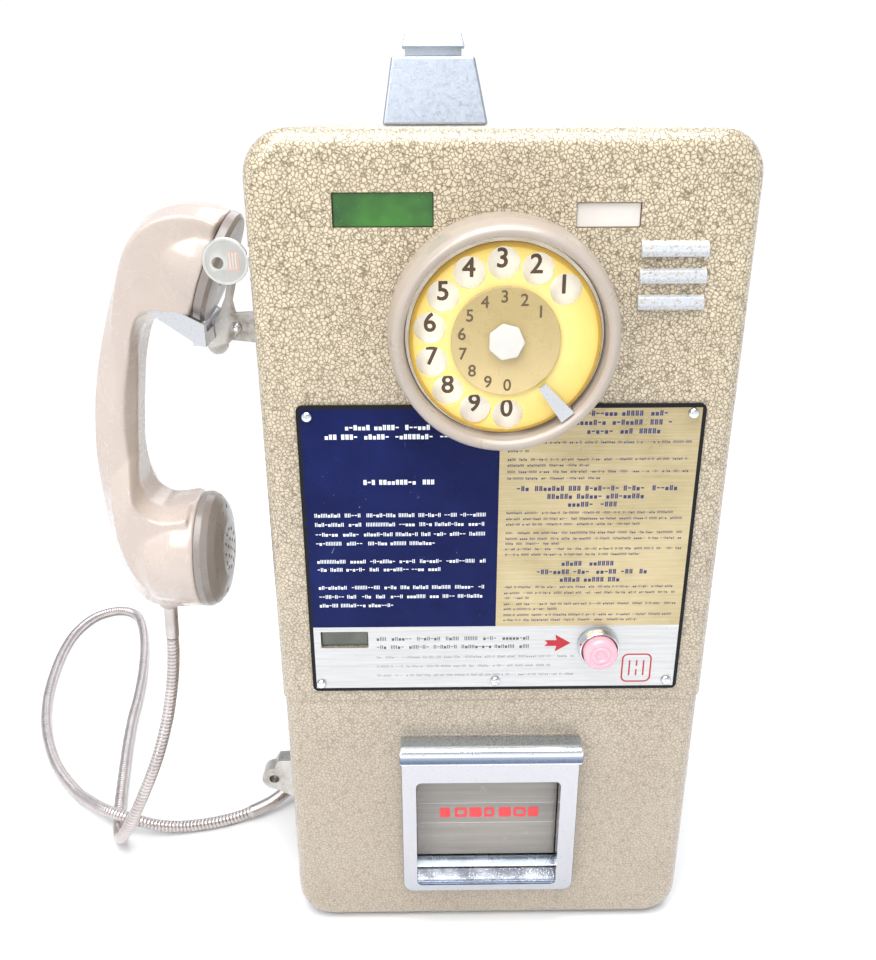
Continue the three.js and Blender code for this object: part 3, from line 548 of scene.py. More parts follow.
def moulded(name, base, roughness, shade=0.07, coat=0.0, texture=0.006, **sockets):
    """Moulded plastic: slight clouding, hairline scuffs and a faint skin."""
    paint = Paint(name, base, roughness, 0.0, Coat_Weight=coat, Coat_Roughness=0.08, **sockets)
    cloud = paint.noise(32, 3.0)
    deep = tuple(c * (1 - shade) for c in base)
    pale = tuple(min(1.0, c * (1 + shade * 0.6)) for c in base)
    tone = paint.ramp(cloud, (0.3, deep), (0.7, pale))
    dirt = paint.ramp(paint.noise(1.6, 4.0, 0.75), (0.70, 0.0), (0.78, 0.35))
    paint.set("Base Color", paint.mix(dirt, tone, tuple(c * 0.55 for c in base)))
    scuffs = paint.noise(14, 5.0, 0.8, 0.6)
    paint.set("Roughness", paint.ramp(scuffs, (0.35, roughness), (0.75, min(1.0, roughness + 0.16))))
    paint.bump(paint.noise(0.9, 3.0), texture)
    return paint.material


def clear_amber():
    """The finger wheel's clear amber plastic, scratched in rings by fingers."""
    paint = Paint(
        "amber_plastic", (0.93, 0.66, 0.12), 0.1, 0.0, Coat_Weight=0.4, Coat_Roughness=0.05, Alpha=0.9)
    x = paint.maths("SUBTRACT", paint.axis("X"), WHEEL.x)
    z = paint.maths("SUBTRACT", paint.axis("Z"), WHEEL.z)
    squares = paint.maths("ADD", paint.maths("MULTIPLY", x, x), paint.maths("MULTIPLY", z, z))
    reach = paint.maths("DIVIDE", paint.maths("SQRT", squares), (WHEEL.x1 - WHEEL.x0) / 2)
    ring = paint.ramp(reach, (0.0, (0.95, 0.74, 0.27)), (0.62, (0.95, 0.75, 0.26)), (0.9, (0.90, 0.66, 0.17)),
                      (1.0, (0.70, 0.42, 0.05)))
    cloud = paint.ramp(paint.noise(26, 3.0), (0.3, (0.90, 0.90, 0.90)), (0.7, (1.0, 1.0, 1.0)))
    rubbing = paint.noise(1.5, 6.0, 0.8, 1.5, paint.stretched(1.0, 1.0, 0.12))
    scratches = paint.ramp(rubbing, (0.62, 0.0), (0.7, 0.22))
    tone = paint.mix(scratches, paint.mix(1.0, ring, cloud, "MULTIPLY"), (1.0, 0.97, 0.85))
    paint.set("Base Color", tone)
    paint.set("Roughness", paint.ramp(paint.noise(10, 4.0), (0.35, 0.06), (0.75, 0.2)))
    paint.bump(paint.noise(3.0, 3.0), 0.01)
    return paint.material


def centre_card():
    """The card under the dial's clear centre: olive beige, paler towards its lower edge."""
    paint = Paint("dial_olive", (0.5, 0.4, 0.2), 0.3, 0.0, Coat_Weight=0.3, Coat_Roughness=0.1)
    fall = paint.maths("DIVIDE", paint.maths("SUBTRACT", paint.axis("Z"), CENTRE.z0), CENTRE.z1 - CENTRE.z0)
    wander = paint.maths("ADD", fall, paint.maths("MULTIPLY", paint.noise(14, 3.0), 0.35))
    tone = paint.ramp(
        wander, (0.22, (0.62, 0.475, 0.235)), (0.55, (0.50, 0.385, 0.18)), (1.0, (0.42, 0.32, 0.14)))
    paint.set("Base Color", tone)
    paint.set("Roughness", paint.ramp(paint.noise(6, 4.0), (0.3, 0.22), (0.7, 0.4)))
    paint.bump(paint.noise(1.2, 3.0), 0.006)
    return paint.material


def printed_plate():
    """The instruction plate: black border, then blue, gold and silver fields, scratched by use."""
    border, middle, split = 1.9, 0.5, 199.0
    paint = Paint("printed_plate", (0.5, 0.5, 0.5), 0.3, Specular_IOR_Level=0.12)
    x, z = paint.axis("X"), paint.axis("Z")
    field = paint.maths("MULTIPLY", paint.inside(x, PLATE.x0 + border, PLATE.x1 - border),
                        paint.inside(z, PLATE.z0 + border, PLATE.z1 - border))
    right = paint.above(x, middle)
    top = paint.above(z, split)
    brushed = paint.noise(0.8, 4.0, 0.7, 0.0, paint.stretched(0.03, 1.0, 1.0))
    cloud = paint.noise(30, 3.0)
    gold = paint.mix(paint.ramp(cloud, (0.3, 0.0), (0.7, 1.0)), (0.38, 0.30, 0.15), (0.56, 0.455, 0.26))
    gold = paint.mix(paint.ramp(brushed, (0.3, 0.0), (0.7, 0.35)), gold, (0.74, 0.66, 0.48))
    silver = paint.mix(paint.ramp(brushed, (0.3, 0.0), (0.7, 0.6)), (0.50, 0.50, 0.495), (0.72, 0.715, 0.70))
    navy = paint.mix(paint.ramp(cloud, (0.3, 0.0), (0.7, 1.0)), (0.003, 0.006, 0.055), (0.007, 0.014, 0.090))
    streak = paint.noise(3.0, 7.0, 0.75, 2.5, paint.stretched(1.0, 1.0, 0.45))
    rubbed = paint.noise(24, 3.0, 0.6)
    scratch = paint.maths("MULTIPLY", paint.ramp(streak, (0.655, 0.0), (0.69, 1.0)),
                          paint.ramp(rubbed, (0.50, 0.0), (0.64, 0.9)))
    navy = paint.mix(scratch, navy, (0.62, 0.66, 0.74))
    upper = paint.mix(right, navy, gold)
    fields = paint.mix(top, silver, upper)
    paint.set("Base Color", paint.mix(field, (0.012, 0.012, 0.014), fields))
    blue = paint.maths("MULTIPLY", top, paint.maths("SUBTRACT", 1.0, right))
    bare = paint.maths("MULTIPLY", field, paint.maths("SUBTRACT", 1.0, blue))
    paint.set("Metallic", paint.maths("MULTIPLY", bare, 0.75))
    paint.set("Roughness", paint.ramp(cloud, (0.3, 0.26), (0.7, 0.40)))
    paint.bump(brushed, 0.008)
    return paint.material


def ink(name, base, wear=0.25):
    """Screen-printed ink, thin in places."""
    paint = Paint(name, base, 0.4)
    thin = paint.ramp(paint.noise(1.4, 5.0, 0.8), (0.55, 0.0), (0.75, wear))
    paint.set("Base Color", paint.mix(thin, base, tuple(0.5 * c + 0.25 for c in base)))
    paint.bump(paint.noise(0.3, 2.0), 0.004)
    return paint.material


def tinted_pane(name, base, glow):
    """Tinted acrylic, its tone drifting at random between two tints, with patches of dust."""
    paint = Paint(name, base, 0.12, 0.0, Coat_Weight=0.7, Coat_Roughness=0.04)
    drift = paint.ramp(paint.noise(22, 2.0), (0.3, 0.0), (0.7, 1.0))
    tone = paint.mix(drift, base, glow)
    dust = paint.ramp(paint.noise(0.9, 5.0, 0.8), (0.64, 0.0), (0.72, 0.5))
    paint.set("Base Color", paint.mix(dust, tone, (0.75, 0.8, 0.7)))
    paint.set("Roughness", paint.ramp(paint.noise(8, 4.0), (0.3, 0.08), (0.75, 0.28)))
    paint.bump(paint.noise(5, 2.0), 0.01)
    return paint.material


def smoked_flap():
    """Smoked acrylic with faint level streaks."""
    base = (0.24, 0.22, 0.195)
    paint = Paint("grey_acrylic", base, 0.16, 0.0, Coat_Weight=0.8, Coat_Roughness=0.06)
    bands = paint.noise(4.0, 3.0, 0.6, 0.0, paint.stretched(0.04, 1.0, 1.0))
    tone = paint.ramp(bands, (0.3, (0.19, 0.175, 0.155)), (0.7, (0.30, 0.275, 0.245)))
    side = paint.ramp(paint.noise(40, 1.0), (0.35, 0.0), (0.65, 0.5))
    paint.set("Base Color", paint.mix(side, tone, (0.29, 0.26, 0.22)))
    paint.set("Roughness", paint.ramp(paint.noise(6, 4.0), (0.3, 0.12), (0.7, 0.3)))
    paint.bump(bands, 0.015)
    return paint.material


def armour_steel():
    """The cord's wound strip: pinkish grey, darker in its grooves and paler on its ridges."""
    base = (0.60, 0.54, 0.52)
    paint = Paint("cord_armour", base, 0.3, 1.0)
    # Darker in the grooves and paler on the ridges, by how sharply the surface curves.
    grooves = paint.ramp(paint.node("NewGeometry").outputs["Pointiness"], (0.40, (0.16, 0.13, 0.12)),
                         (0.50, (0.52, 0.465, 0.45)), (0.58, (0.78, 0.73, 0.71)))
    cloud = paint.ramp(paint.noise(9, 4.0), (0.3, (0.82, 0.80, 0.80)), (0.7, (1.0, 1.0, 1.0)))
    paint.set("Base Color", paint.mix(1.0, grooves, cloud, "MULTIPLY"))
    paint.set("Roughness", paint.ramp(paint.noise(3, 4.0), (0.3, 0.24), (0.7, 0.42)))
    paint.bump(paint.noise(0.4, 3.0), 0.01)
    return paint.material


def circuit_laminate():
    """Green laminate with fine copper-coloured tracks."""
    paint = Paint("circuit_board", (0.05, 0.22, 0.10), 0.4)
    tracks = paint.ramp(paint.cells(4.0, "DISTANCE_TO_EDGE"), (0.05, 1.0), (0.07, 0.0))
    tone = paint.ramp(paint.noise(20, 2.0), (0.3, (0.04, 0.18, 0.08)), (0.7, (0.07, 0.27, 0.13)))
    paint.set("Base Color", paint.mix(paint.maths("MULTIPLY", tracks, 0.5), tone, (0.35, 0.42, 0.16)))
    paint.set("Roughness", paint.ramp(paint.noise(3, 3.0), (0.3, 0.3), (0.7, 0.5)))
    paint.bump(tracks, 0.03)
    return paint.material


LOOK = {
    "case_enamel": hammered_enamel(),
    "zinc_steel": metal("zinc_steel", (0.62, 0.62, 0.60), 0.28, 0.48, 0.02, (0.42, 0.40, 0.33), 0.3, 12),
    "cast_aluminium": metal(
        "cast_aluminium", (0.40, 0.435, 0.49), 0.34, 0.55, 0.09, (0.26, 0.28, 0.32), 0.5, 1.3),
    "chrome": plated("chrome"),
    # The frame's plating carries painted light by height: white painted highlight bands, grey-blue and dark
    # blue painted reflection bands on the hood, with speckled painted shadow along them.
    "frame_chrome_painted_light": plated("frame_chrome_painted_light", painted_light_levels=(
        (28, (0.48, 0.50, 0.55), 0.1), (45, (0.52, 0.52, 0.545), 0.0), (120.6, (0.56, 0.55, 0.58), 0.0),
        (121.2, (0.86, 0.87, 0.9), 0.0), (122.2, (0.8, 0.82, 0.86), 0.0), (122.7, (0.14, 0.17, 0.24), 0.4),
        (124.4, (0.18, 0.22, 0.31), 0.3), (126.4, (0.34, 0.39, 0.48), 0.1), (127.3, (0.88, 0.9, 0.93), 0.0),
        (130.2, (0.88, 0.91, 0.95), 0.0), (130.8, (0.52, 0.60, 0.70), 0.0))),
    # The sill's plating carries painted light by height: a speckled dark painted shadow line near its foot
    # and a white painted reflection band above it.
    "sill_chrome_painted_light": plated("sill_chrome_painted_light", painted_light_levels=(
        (34.6, (0.6, 0.62, 0.68), 0.1), (35.6, (0.26, 0.31, 0.40), 0.7), (36.5, (0.34, 0.39, 0.48), 0.8),
        (36.9, (0.84, 0.87, 0.92), 0.1), (39.2, (0.86, 0.89, 0.94), 0.0))),
    # The cup's plating carries painted light by height: a pale painted reflection at its foot, a dark painted
    # shade line just above, and a mid grey above that, painted lighter than the shaded cup would look.
    "cup_chrome_painted_light": plated("cup_chrome_painted_light", low=0.2, high=0.4, painted_light_levels=(
        (39.4, (0.80, 0.84, 0.90), 0.0), (40.2, (0.56, 0.61, 0.67), 0.0), (41.8, (0.26, 0.30, 0.34), 0.1),
        (60, (0.5, 0.54, 0.6), 0.0), (112, (0.4, 0.42, 0.46), 0.0))),
    "worn_steel": metal("worn_steel", (0.52, 0.50, 0.47), 0.24, 0.5, 0.08, (0.20, 0.16, 0.12), 0.75, 6),
    "greige_plastic": moulded("greige_plastic", (0.42, 0.355, 0.30), 0.26, 0.06, 0.4),
    "handset_plastic": moulded("handset_plastic", (0.50, 0.42, 0.37), 0.2, 0.04, 0.5),
    "cap_plastic": moulded("cap_plastic", (0.25, 0.215, 0.195), 0.24, 0.07, 0.3),
    "amber_plastic": clear_amber(),
    "dial_olive": centre_card(),
    "white_plastic": moulded("white_plastic", (0.64, 0.62, 0.57), 0.3, 0.05),
    # Painted glow: a faint emission lifts the white disc out of the shade of the finger holes.
    "number_disc_painted_glow": moulded(
        "number_disc_painted_glow", (0.97, 0.965, 0.94), 0.4, 0.01, Emission_Color=(1.0, 0.98, 0.92, 1.0),
        Emission_Strength=0.14),
    "pink_plastic": moulded("pink_plastic", (0.90, 0.42, 0.49), 0.22, 0.1, 0.5, Subsurface_Weight=0.3,
                            Subsurface_Radius=(0.004, 0.002, 0.002)),
    "grey_acrylic": smoked_flap(),
    "green_acrylic": tinted_pane("green_acrylic", (0.004, 0.06, 0.004), (0.04, 0.22, 0.012)),
    "dark_glass": tinted_pane("dark_glass", (0.05, 0.055, 0.04), (0.11, 0.12, 0.09)),
    "label_white": moulded("label_white", (0.72, 0.68, 0.63), 0.35, 0.10),
    "printed_plate": printed_plate(),
    "black_plastic": moulded("black_plastic", (0.025, 0.025, 0.028), 0.4, 0.2),
    "circuit_board": circuit_laminate(),
    "copper": metal("copper", (0.72, 0.36, 0.20), 0.25, 0.45, 0.04, (0.32, 0.14, 0.07), 0.5, 4),
    "brass": metal("brass", (0.76, 0.58, 0.27), 0.2, 0.4, 0.02, (0.42, 0.30, 0.12), 0.4, 9),
    "cord_armour": armour_steel(),
}


def dress(piece, body, slot, *nodes):
    """Finishes a piece with the look of its slot."""
    return finish(piece, body, slot, LOOK[slot], *nodes)


# ---------------------------------------------------------------- cord
CORD_RADIUS = 3.75
CORD_ROUTE = [
    (-182.5, -15.5, 155), (-183.4, -15.8, 142), (-185.8, -17.5, 124), (-190.4, -21.5, 101),
    (-197.7, -27.5, 77), (-207.5, -31.5, 54), (-215.8, -32.2, 37), (-223.5, -29, 22.5),
    (-230.5, -21, 11), (-236.3, -9, 5), (-241, 6.5, 4.2), (-247, 31, 4.2), (-253, 57, 4.2),
    (-259, 85, 4.2), (-264, 112, 4.2), (-268, 140, 4.2), (-274.5, 174, 4.2), (-284, 212, 4.2),
    (-296, 247, 4.2), (-309, 270, 4.2), (-327, 277, 4.2), (-345, 266, 4.2), (-353.5, 240, 4.2),
    (-353.5, 209, 4.2), (-348, 172, 4.2), (-339, 135, 4.2), (-324.5, 97, 4.2), (-303, 59, 4.2),
    (-279, 30.5, 5), (-264, 16.5, 7.6), (-251, 5.8, 10.8), (-239, -1.5, 12.4), (-226, -5.8, 11.6),
    (-211, -6.3, 7.2), (-196, -4.7, 4.6), (-178.6, -1.7, 4.2), (-164.4, 2.7, 4.2), (-154, 6.6, 5.3),
]
SLEEVE_ROUTE = [
    (-153.7, 6.7, 5.34), (-146.1, 9.9, 6.8), (-137.6, 14.2, 9.2), (-129, 21.6, 12.3),
    (-122.5, 26.4, 14.5), (-119.5, 27.7, 14.95), (-116.4, 28, 15),
]
FERRULE_ROUTE = [(-181.3, -15.5, 176.6), (-181.6, -15.5, 170), (-182.1, -15.5, 162), (-182.45, -15.5, 155.4)]


def armoured_cord():
    """The strip-wound cord: one helical ridge along its whole length."""
    pitch, samples, sides, groove = 2.3, 6, 16, 0.62
    centres, along = spline(CORD_ROUTE, pitch / samples)
    phase = along[:, None] / pitch - np.arange(sides)[None, :] / sides
    ridge = np.abs(np.sin(np.pi * phase)) ** 0.6
    cord = swept("armoured_cord", centres, CORD_RADIUS - groove * (1 - ridge))
    smooth(cord, 60)
    finish(cord, None, "cord_armour", LOOK["cord_armour"], "handset_cord")
    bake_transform(cord)
    return cord, centres, along[-1]


def cord_end(name, route, radius, body, node):
    """A smooth sleeve on the cord, its ends rolled over."""
    roll = 1.2
    centres, along = spline(route, 0.8)
    from_end = np.minimum(along, along[-1] - along)
    inwards = np.clip(1 - from_end / roll, 0, 1)
    radii = radius - roll * (1 - np.sqrt(1 - inwards ** 2 * 0.75))
    rows = np.repeat(radii[:, None], 24, axis=1)
    return dress(smooth(swept(name, centres, rows), 50), body, "cord_armour", node)


def add_cord():
    ferrule = cord_end("cord_ferrule_smooth", FERRULE_ROUTE, CORD_RADIUS + 0.2, "handset", "cord_ferrule")
    sleeve = cord_end("cord_sleeve_smooth", SLEEVE_ROUTE, CORD_RADIUS + 0.5, "chassis", "cord_sleeve")
    cord, centres, length = armoured_cord()


# ---------------------------------------------------------------- case covers
def case_block(inset, low, high, rear=COVER_REAR):
    """The case as a rounded block shrunk by an inset, with its front edge rolled over."""
    roll_steps = 8
    loops = []
    for step in range(roll_steps + 1):
        angle = math.pi / 2 * step / roll_steps
        shrink = EDGE_RADIUS * (1 - math.sin(angle))
        y = FRONT + inset + EDGE_RADIUS * (1 - math.cos(angle))
        loops.append((shrink, y))
    loops.append((0.0, rear))
    half = WIDTH / 2 - inset
    vertices = []
    for shrink, y in loops:
        foot, head = inset + shrink, HEIGHT - inset - shrink
        ring = rounded_rectangle(-half + shrink, half - shrink, foot, head, CORNER_RADIUS - shrink, 12)
        vertices.extend((a, y, b) for a, b in ring)
    count = len(ring)
    ends = [tuple(range(count)), tuple(range((len(loops) - 1) * count, len(loops) * count))]
    solid = make("case_block", vertices, ring_faces(len(loops), count) + ends)
    return carve(solid, block("keep", -WIDTH, WIDTH, FRONT - 20, rear + 20, low, high), operation="INTERSECT")


def louvre_ribs():
    """The three pressed louvres: round hoods that overhang their slit."""
    top, pitch, height, depth = 386.9, 11.3, 6.7, 3.2
    x0, x1 = 58.8, 87.8
    ribs, slits = [], []
    for index in range(3):
        crown = top - index * pitch
        foot = crown - height
        outline = fillet([
            (FRONT + 1, crown), (FRONT - 0.2, crown), (FRONT - depth * 0.62, crown - 1.6, 2.2),
            (FRONT - depth, foot + 2.0, 1.6), (FRONT - depth + 0.5, foot, 0.5), (FRONT + 1, foot)])
        ribs.append(soften(extruded("louvre", outline, "yz", x0, x1), 1.2, 4, 50))
        slits.append(block("slit", x0 + 2, x1 - 2, FRONT - depth + 1.4, FRONT + 10, foot - 0.4, foot + 2.2))
    return ribs, slits


def window_cutter(node):
    """A cutter the size of the opening that shows a pane."""
    pane = Box(node)
    rim, gap = 3, 0.3
    outline = rounded_rectangle(
        pane.x0 + rim - gap, pane.x1 - rim + gap, pane.z0 + rim - gap, pane.z1 - rim + gap, 0.6, 4)
    return extruded("cutter", outline, "xz", FRONT - 10, FRONT + 10)


def upper_cover():
    """The case down to the seam, with its louvres and the openings for what comes through it."""
    shell = case_block(0, UPPER.z0, HEIGHT + 9)
    hollow = case_block(SHEET, UPPER.z0 - 5, HEIGHT + 9, COVER_REAR + 5)
    ribs, slits = louvre_ribs()
    carve(shell, *ribs, operation="UNION")
    lock = Box("lock_plug")
    chute_hole = block("cutter", -45, -13, -8, 8, HEIGHT - 10, HEIGHT + 1)
    hook_notch = block("cutter", UPPER.x0 - 1, UPPER.x0 + 10, -24, COVER_REAR + 5, 320, 358)
    cutters = [
        hollow,
        *slits,
        *[window_cutter(node) for node in ("green_window", "label_window", "token_window")],
        rod(36, (NUMBERS.x, FRONT - 1, NUMBERS.z), (NUMBERS.x, FRONT + 10, NUMBERS.z), 64),
        rod(6.6, (BUTTON.x, FRONT - 1, BUTTON.z), (BUTTON.x, FRONT + 10, BUTTON.z)),
        rod(8.5, (UPPER.x0 - 1, lock.y, lock.z), (UPPER.x0 + 10, lock.y, lock.z)),
        chute_hole,
        hook_notch,
    ]
    carve(shell, *cutters)
    shell.name = "hammered_upper_cover"
    dress(smooth(soften(shell, 0.45, 2, 50), 40), "upper_case", "case_enamel", "upper_cover")


def lower_cover():
    """The token compartment below the seam, a little smaller than the upper cover."""
    shell = case_block(LOWER_INSET, 0.5, LOWER.z1)
    hollow = case_block(LOWER_INSET + SHEET, -5, LOWER.z1 + 5, COVER_REAR + 5)
    return_hole = block("cutter", -44, 41, FRONT - 5, FRONT + 20, 32.6, 113)
    open_foot = block("cutter", -85, 85, FRONT + 16, COVER_REAR + 5, -1, 10)
    cord_notch = block("cutter", UPPER.x0 - 1, UPPER.x0 + 14, 18, COVER_REAR + 5, 5.5, 27)
    carve(shell, hollow, return_hole, open_foot, cord_notch)
    shell.name = "hammered_lower_cover"
    dress(smooth(soften(shell, 0.45, 2, 50), 40), "lower_case", "case_enamel", "lower_cover")


# ---------------------------------------------------------------- instruction plate
PLATE_FACE = PLATE.y0
PRINT_DEPTH = 0.05
BEZEL_RADIUS = (BEZEL.x1 - BEZEL.x0) / 2


def instruction_plate():
    """The plate with its cut-outs for the dial, the button, the small pane and the screws."""
    outline = rounded_rectangle(PLATE.x0, PLATE.x1, PLATE.z0, PLATE.z1, 3)
    plate = extruded("printed_instruction_plate", outline, "xz", PLATE.y0, PLATE.y1)
    screws = [Box(f"plate_screw_{i + 1}") for i in range(5)]
    cutters = [
        rod(9, (BUTTON.x, FRONT - 4, BUTTON.z), (BUTTON.x, FRONT + 1, BUTTON.z)),
        window_cutter("token_window"),
        rod(BEZEL_RADIUS + 0.3, (BEZEL.x, FRONT - 4, BEZEL.z), (BEZEL.x, FRONT + 1, BEZEL.z), 96),
        *[rod(1.9, (s.x, FRONT - 4, s.z), (s.x, FRONT + 1, s.z), 16) for s in screws],
    ]
    carve(plate, *cutters)
    dress(smooth(soften(plate, 0.18, 2, 50)), "upper_case", "printed_plate", "instruction_plate")


def screw_dome(index):
    """A raised rivet-like screw head with a narrow slot."""
    node = f"plate_screw_{index + 1}"
    screw = Box(node)
    seat = PLATE_FACE - 0.3
    crown = screw.y0
    profile = [(0, crown), (1.2, crown + 0.12), (2.0, crown + 0.5), (2.45, crown + 1.1), (2.5, seat - 0.1),
               (2.4, seat), (1.5, seat), (1.5, FRONT + 5), (0, FRONT + 5)]
    head = turned(f"dome_screw_{index + 1}", profile, Vector((screw.x, 0, screw.z)), Y_AXIS, 40)
    turn = math.radians(20 + 47 * index)
    slot = block("slot", -3, 3, crown - 1, crown + 0.35, -0.28, 0.28)
    slot.data.transform(Matrix.Translation((screw.x * MM, 0, screw.z * MM)) @ Matrix.Rotation(turn, 4, "Y"))
    carve(head, slot)
    dress(smooth(head, 30), "upper_case", "chrome", node)


def glyph_blocks(rng, x, z, width, height, bold):
    """One greeked word: a row of plain bars, blocks and dashes in the pitch and height of printed letters."""
    pitch = height * 0.78
    span = pitch * 0.74
    stroke = height * (0.26 if bold else 0.2)
    low, high = z - height / 2, z + height / 2
    blocks = []
    end = x + width
    while x + span <= end:
        kind = rng.random()
        if kind < 0.5:
            blocks += [(x, x + stroke, low, high), (x + span - stroke, x + span, low, high)]
        elif kind < 0.8:
            blocks.append((x, x + span, low, low + 0.68 * height))
        else:
            blocks.append((x, x + span, z - stroke / 2, z + stroke / 2))
        x += pitch
    return blocks


def greeked_line(rng, x0, x1, z, height, bold=False):
    """A row of greeked words between two places."""
    blocks = []
    x = x0
    while x < x1 - height:
        width = min(rng.uniform(2.2, 7.5) * height, x1 - x)
        blocks += glyph_blocks(rng, x, z, width, height, bold)
        x += width + 0.75 * height
    return blocks


def print_piece(name, slot, base, blocks, wear=0.25):
    """Printed blocks on the plate, left out where the dial covers the plate."""
    dial_reach = BEZEL_RADIUS + 0.8
    vertices, faces = [], []
    for x0, x1, z0, z1 in blocks:
        if min(math.hypot(x - BEZEL.x, z - BEZEL.z) for x in (x0, x1) for z in (z0, z1)) < dial_reach:
            continue
        start = len(vertices)
        inner = 0.12 * min(x1 - x0, z1 - z0)
        for y, grow in ((PLATE_FACE, 0.0), (PLATE_FACE - PRINT_DEPTH, inner)):
            vertices += [(x0 + grow, y, z0 + grow), (x1 - grow, y, z0 + grow),
                         (x1 - grow, y, z1 - grow), (x0 + grow, y, z1 - grow)]
        faces += [tuple(start + i for i in face) for face in
                  ((0, 1, 2, 3), (4, 5, 6, 7), (0, 1, 5, 4), (1, 2, 6, 5), (2, 3, 7, 6), (3, 0, 4, 7))]
    piece = make(name, vertices, faces)
    finish(piece, "upper_case", slot, ink(name, base, wear))


def plate_print():
    """Greeked instructions: headings and paragraphs in the rhythm of the real plate, with no real letters."""
    rng = random.Random(11)
    white = []
    for x0, x1, z in ((-70.5, -31, 304.2), (-80, -22, 299.7), (-63, -28.5, 277.2)):
        white += greeked_line(rng, x0, x1, z, 2.5, True)
    for x1, z in ((-5, 260.3), (-5, 255.5), (-5, 250.3), (-27, 245.5), (-5, 235.8), (-27, 231.4),
                  (-5, 221.5), (-5, 216.4), (-47, 211.5)):
        white += greeked_line(rng, -86.8, x1, z, 2.0)
    print_piece("plate_print_white", "label_white", (0.86, 0.88, 0.90), white)

    navy = []
    for x0, x1, z in ((38, 77, 310.4), (35, 81, 306.1), (40.5, 76, 301.8), (9, 85, 273.5),
                      (23.5, 72.5, 269.4), (33.5, 58.5, 265.3), (32, 59, 233.9), (20, 75, 229.4),
                      (31.5, 62.5, 225.1)):
        navy += greeked_line(rng, x0, x1, z, 2.6, True)
    for x1, z in ((89.5, 296.5), (14.5, 292.3), (88.6, 288.1), (43, 285.2), (89, 282), (48, 278.7),
                  (84, 261), (89.5, 257.9), (68.5, 255.0), (90, 250.5), (89.8, 247.4), (31, 244.8),
                  (90, 241.9), (70, 238.9), (87.4, 221.1), (88.7, 217.8), (17.3, 215.0), (90.3, 211.6),
                  (32.5, 208.8), (88.9, 205.4), (73, 202.5)):
        navy += greeked_line(rng, 4.3, x1, z, 1.25)
    print_piece("plate_print_navy", "black_plastic", (0.022, 0.026, 0.12), navy)

    grey = []
    for x1, z in ((18.2, 192.1), (18.2, 187.3)):
        grey += greeked_line(rng, -59.3, x1, z, 2.2)
    print_piece("plate_print_grey", "black_plastic", (0.09, 0.09, 0.10), grey)
    fine = []
    for x1, z in ((41.5, 181.3), (29.5, 175.9), (42, 170.5)):
        fine += greeked_line(rng, -59.5, x1, z, 1.35)
    print_piece("plate_print_fine", "black_plastic", (0.28, 0.28, 0.29), fine)


def red_marks():
    """The arrow that points at the button and a plain pictogram frame, both in red print."""
    y0, y1 = PLATE_FACE - PRINT_DEPTH, PLATE_FACE
    x0, x1, z = 25.4, 38.6, 188.9
    shaft, head, waist = 1.7, 5.0, 31.5
    outline = [(x0, z - shaft), (waist, z - shaft), (waist - 0.8, z - head), (x1, z), (waist - 0.8, z + head),
               (waist, z + shaft), (x0, z + shaft), (x0 + 1.6, z)]
    arrow = extruded("arrow", outline, "xz", y0, y1)
    fx0, fx1, fz0, fz1, line = 65.4, 80.7, 165.3, 182.3, 0.8
    ring = extruded("ring", rounded_rectangle(fx0, fx1, fz0, fz1, 3.2), "xz", y0, y1)
    hollow = rounded_rectangle(fx0 + line, fx1 - line, fz0 + line, fz1 - line, 2.5)
    carve(ring, extruded("hollow", hollow, "xz", y0 - 1, y1 + 1))
    middle_x, middle_z = (fx0 + fx1) / 2, (fz0 + fz1) / 2
    bars = [block("bar", middle_x + dx - 0.4, middle_x + dx + 0.4, y0, y1, middle_z + low, middle_z + high)
            for dx, low, high in ((-3.6, -4.5, 4.5), (0, -4.5, -0.8), (0, 1.2, 4.5), (3.6, -4.5, 4.5))]
    piece = merged("plate_print_red", [arrow, ring, *bars])
    finish(piece, "upper_case", "pink_plastic", ink("plate_print_red", (0.44, 0.006, 0.02), 0.1))


# ---------------------------------------------------------------- windows and button
def window_pane(node, name, slot):
    """A pane with its wider rim behind the sheet, the visible face rolled over at its edges."""
    pane = Box(node)
    rim = 3
    back = block(name, pane.x0, pane.x1, FRONT + SHEET + 0.3, pane.y1, pane.z0, pane.z1)
    outline = rounded_rectangle(pane.x0 + rim, pane.x1 - rim, pane.z0 + rim, pane.z1 - rim, 0.4, 4)
    face = soften(extruded("face", outline, "xz", pane.y0, FRONT + SHEET + 1), 0.3, 3, 50)
    carve(back, face, operation="UNION")
    dress(smooth(back, 40), "upper_case", slot, node)


def button_and_collar():
    """The ringed return button in its chromed collar."""
    origin = Vector((BUTTON.x, 0, BUTTON.z))
    base = COLLAR.y1
    front = COLLAR.y0
    ring = fillet([(8.85, base), (10.6, base, 0.2), (10.6, base - 2.2, 0.6), (9.9, base - 5, 0.5),
                   (9.3, front, 0.35), (8.85, base - 4.6, 0.3)], 0, 4)
    collar = turned("chromed_collar", ring, origin, closed=True)
    dress(smooth(collar, 40), "upper_case", "chrome", "button_collar")
    radius, face = 8.5, BUTTON.y0
    outline = fillet([(0, face + 0.9), (2.6, face + 0.9, 0.4), (3.1, face + 0.1, 0.3), (4.4, face, 0.3),
                      (4.8, face + 0.45, 0.2), (5.4, face + 0.45, 0.2), (5.8, face, 0.3),
                      (7.4, face + 0.3, 1), (radius, face + 1.6, 1.2), (radius, face + 5.8, 0.3),
                      (5, face + 5.8), (5, BUTTON.y1), (0, BUTTON.y1)], 0, 4)
    button = turned("ringed_return_button", outline, origin)
    dress(smooth(button, 40), "refund_button", "pink_plastic", "return_button")


# ---------------------------------------------------------------- dial
FIRST_HOLE = math.radians(41.4)
HOLE_STEP = 2 * math.pi / 14
HOLE_CIRCLE = 32
FINGER_HOLE = 6.6
DIAL = Vector((NUMBERS.x, 0, NUMBERS.z))


def around_dial(index, radius):
    """The place of a digit or finger hole, counted from the first hole."""
    angle = FIRST_HOLE + index * HOLE_STEP
    return NUMBERS.x + radius * math.cos(angle), NUMBERS.z + radius * math.sin(angle)


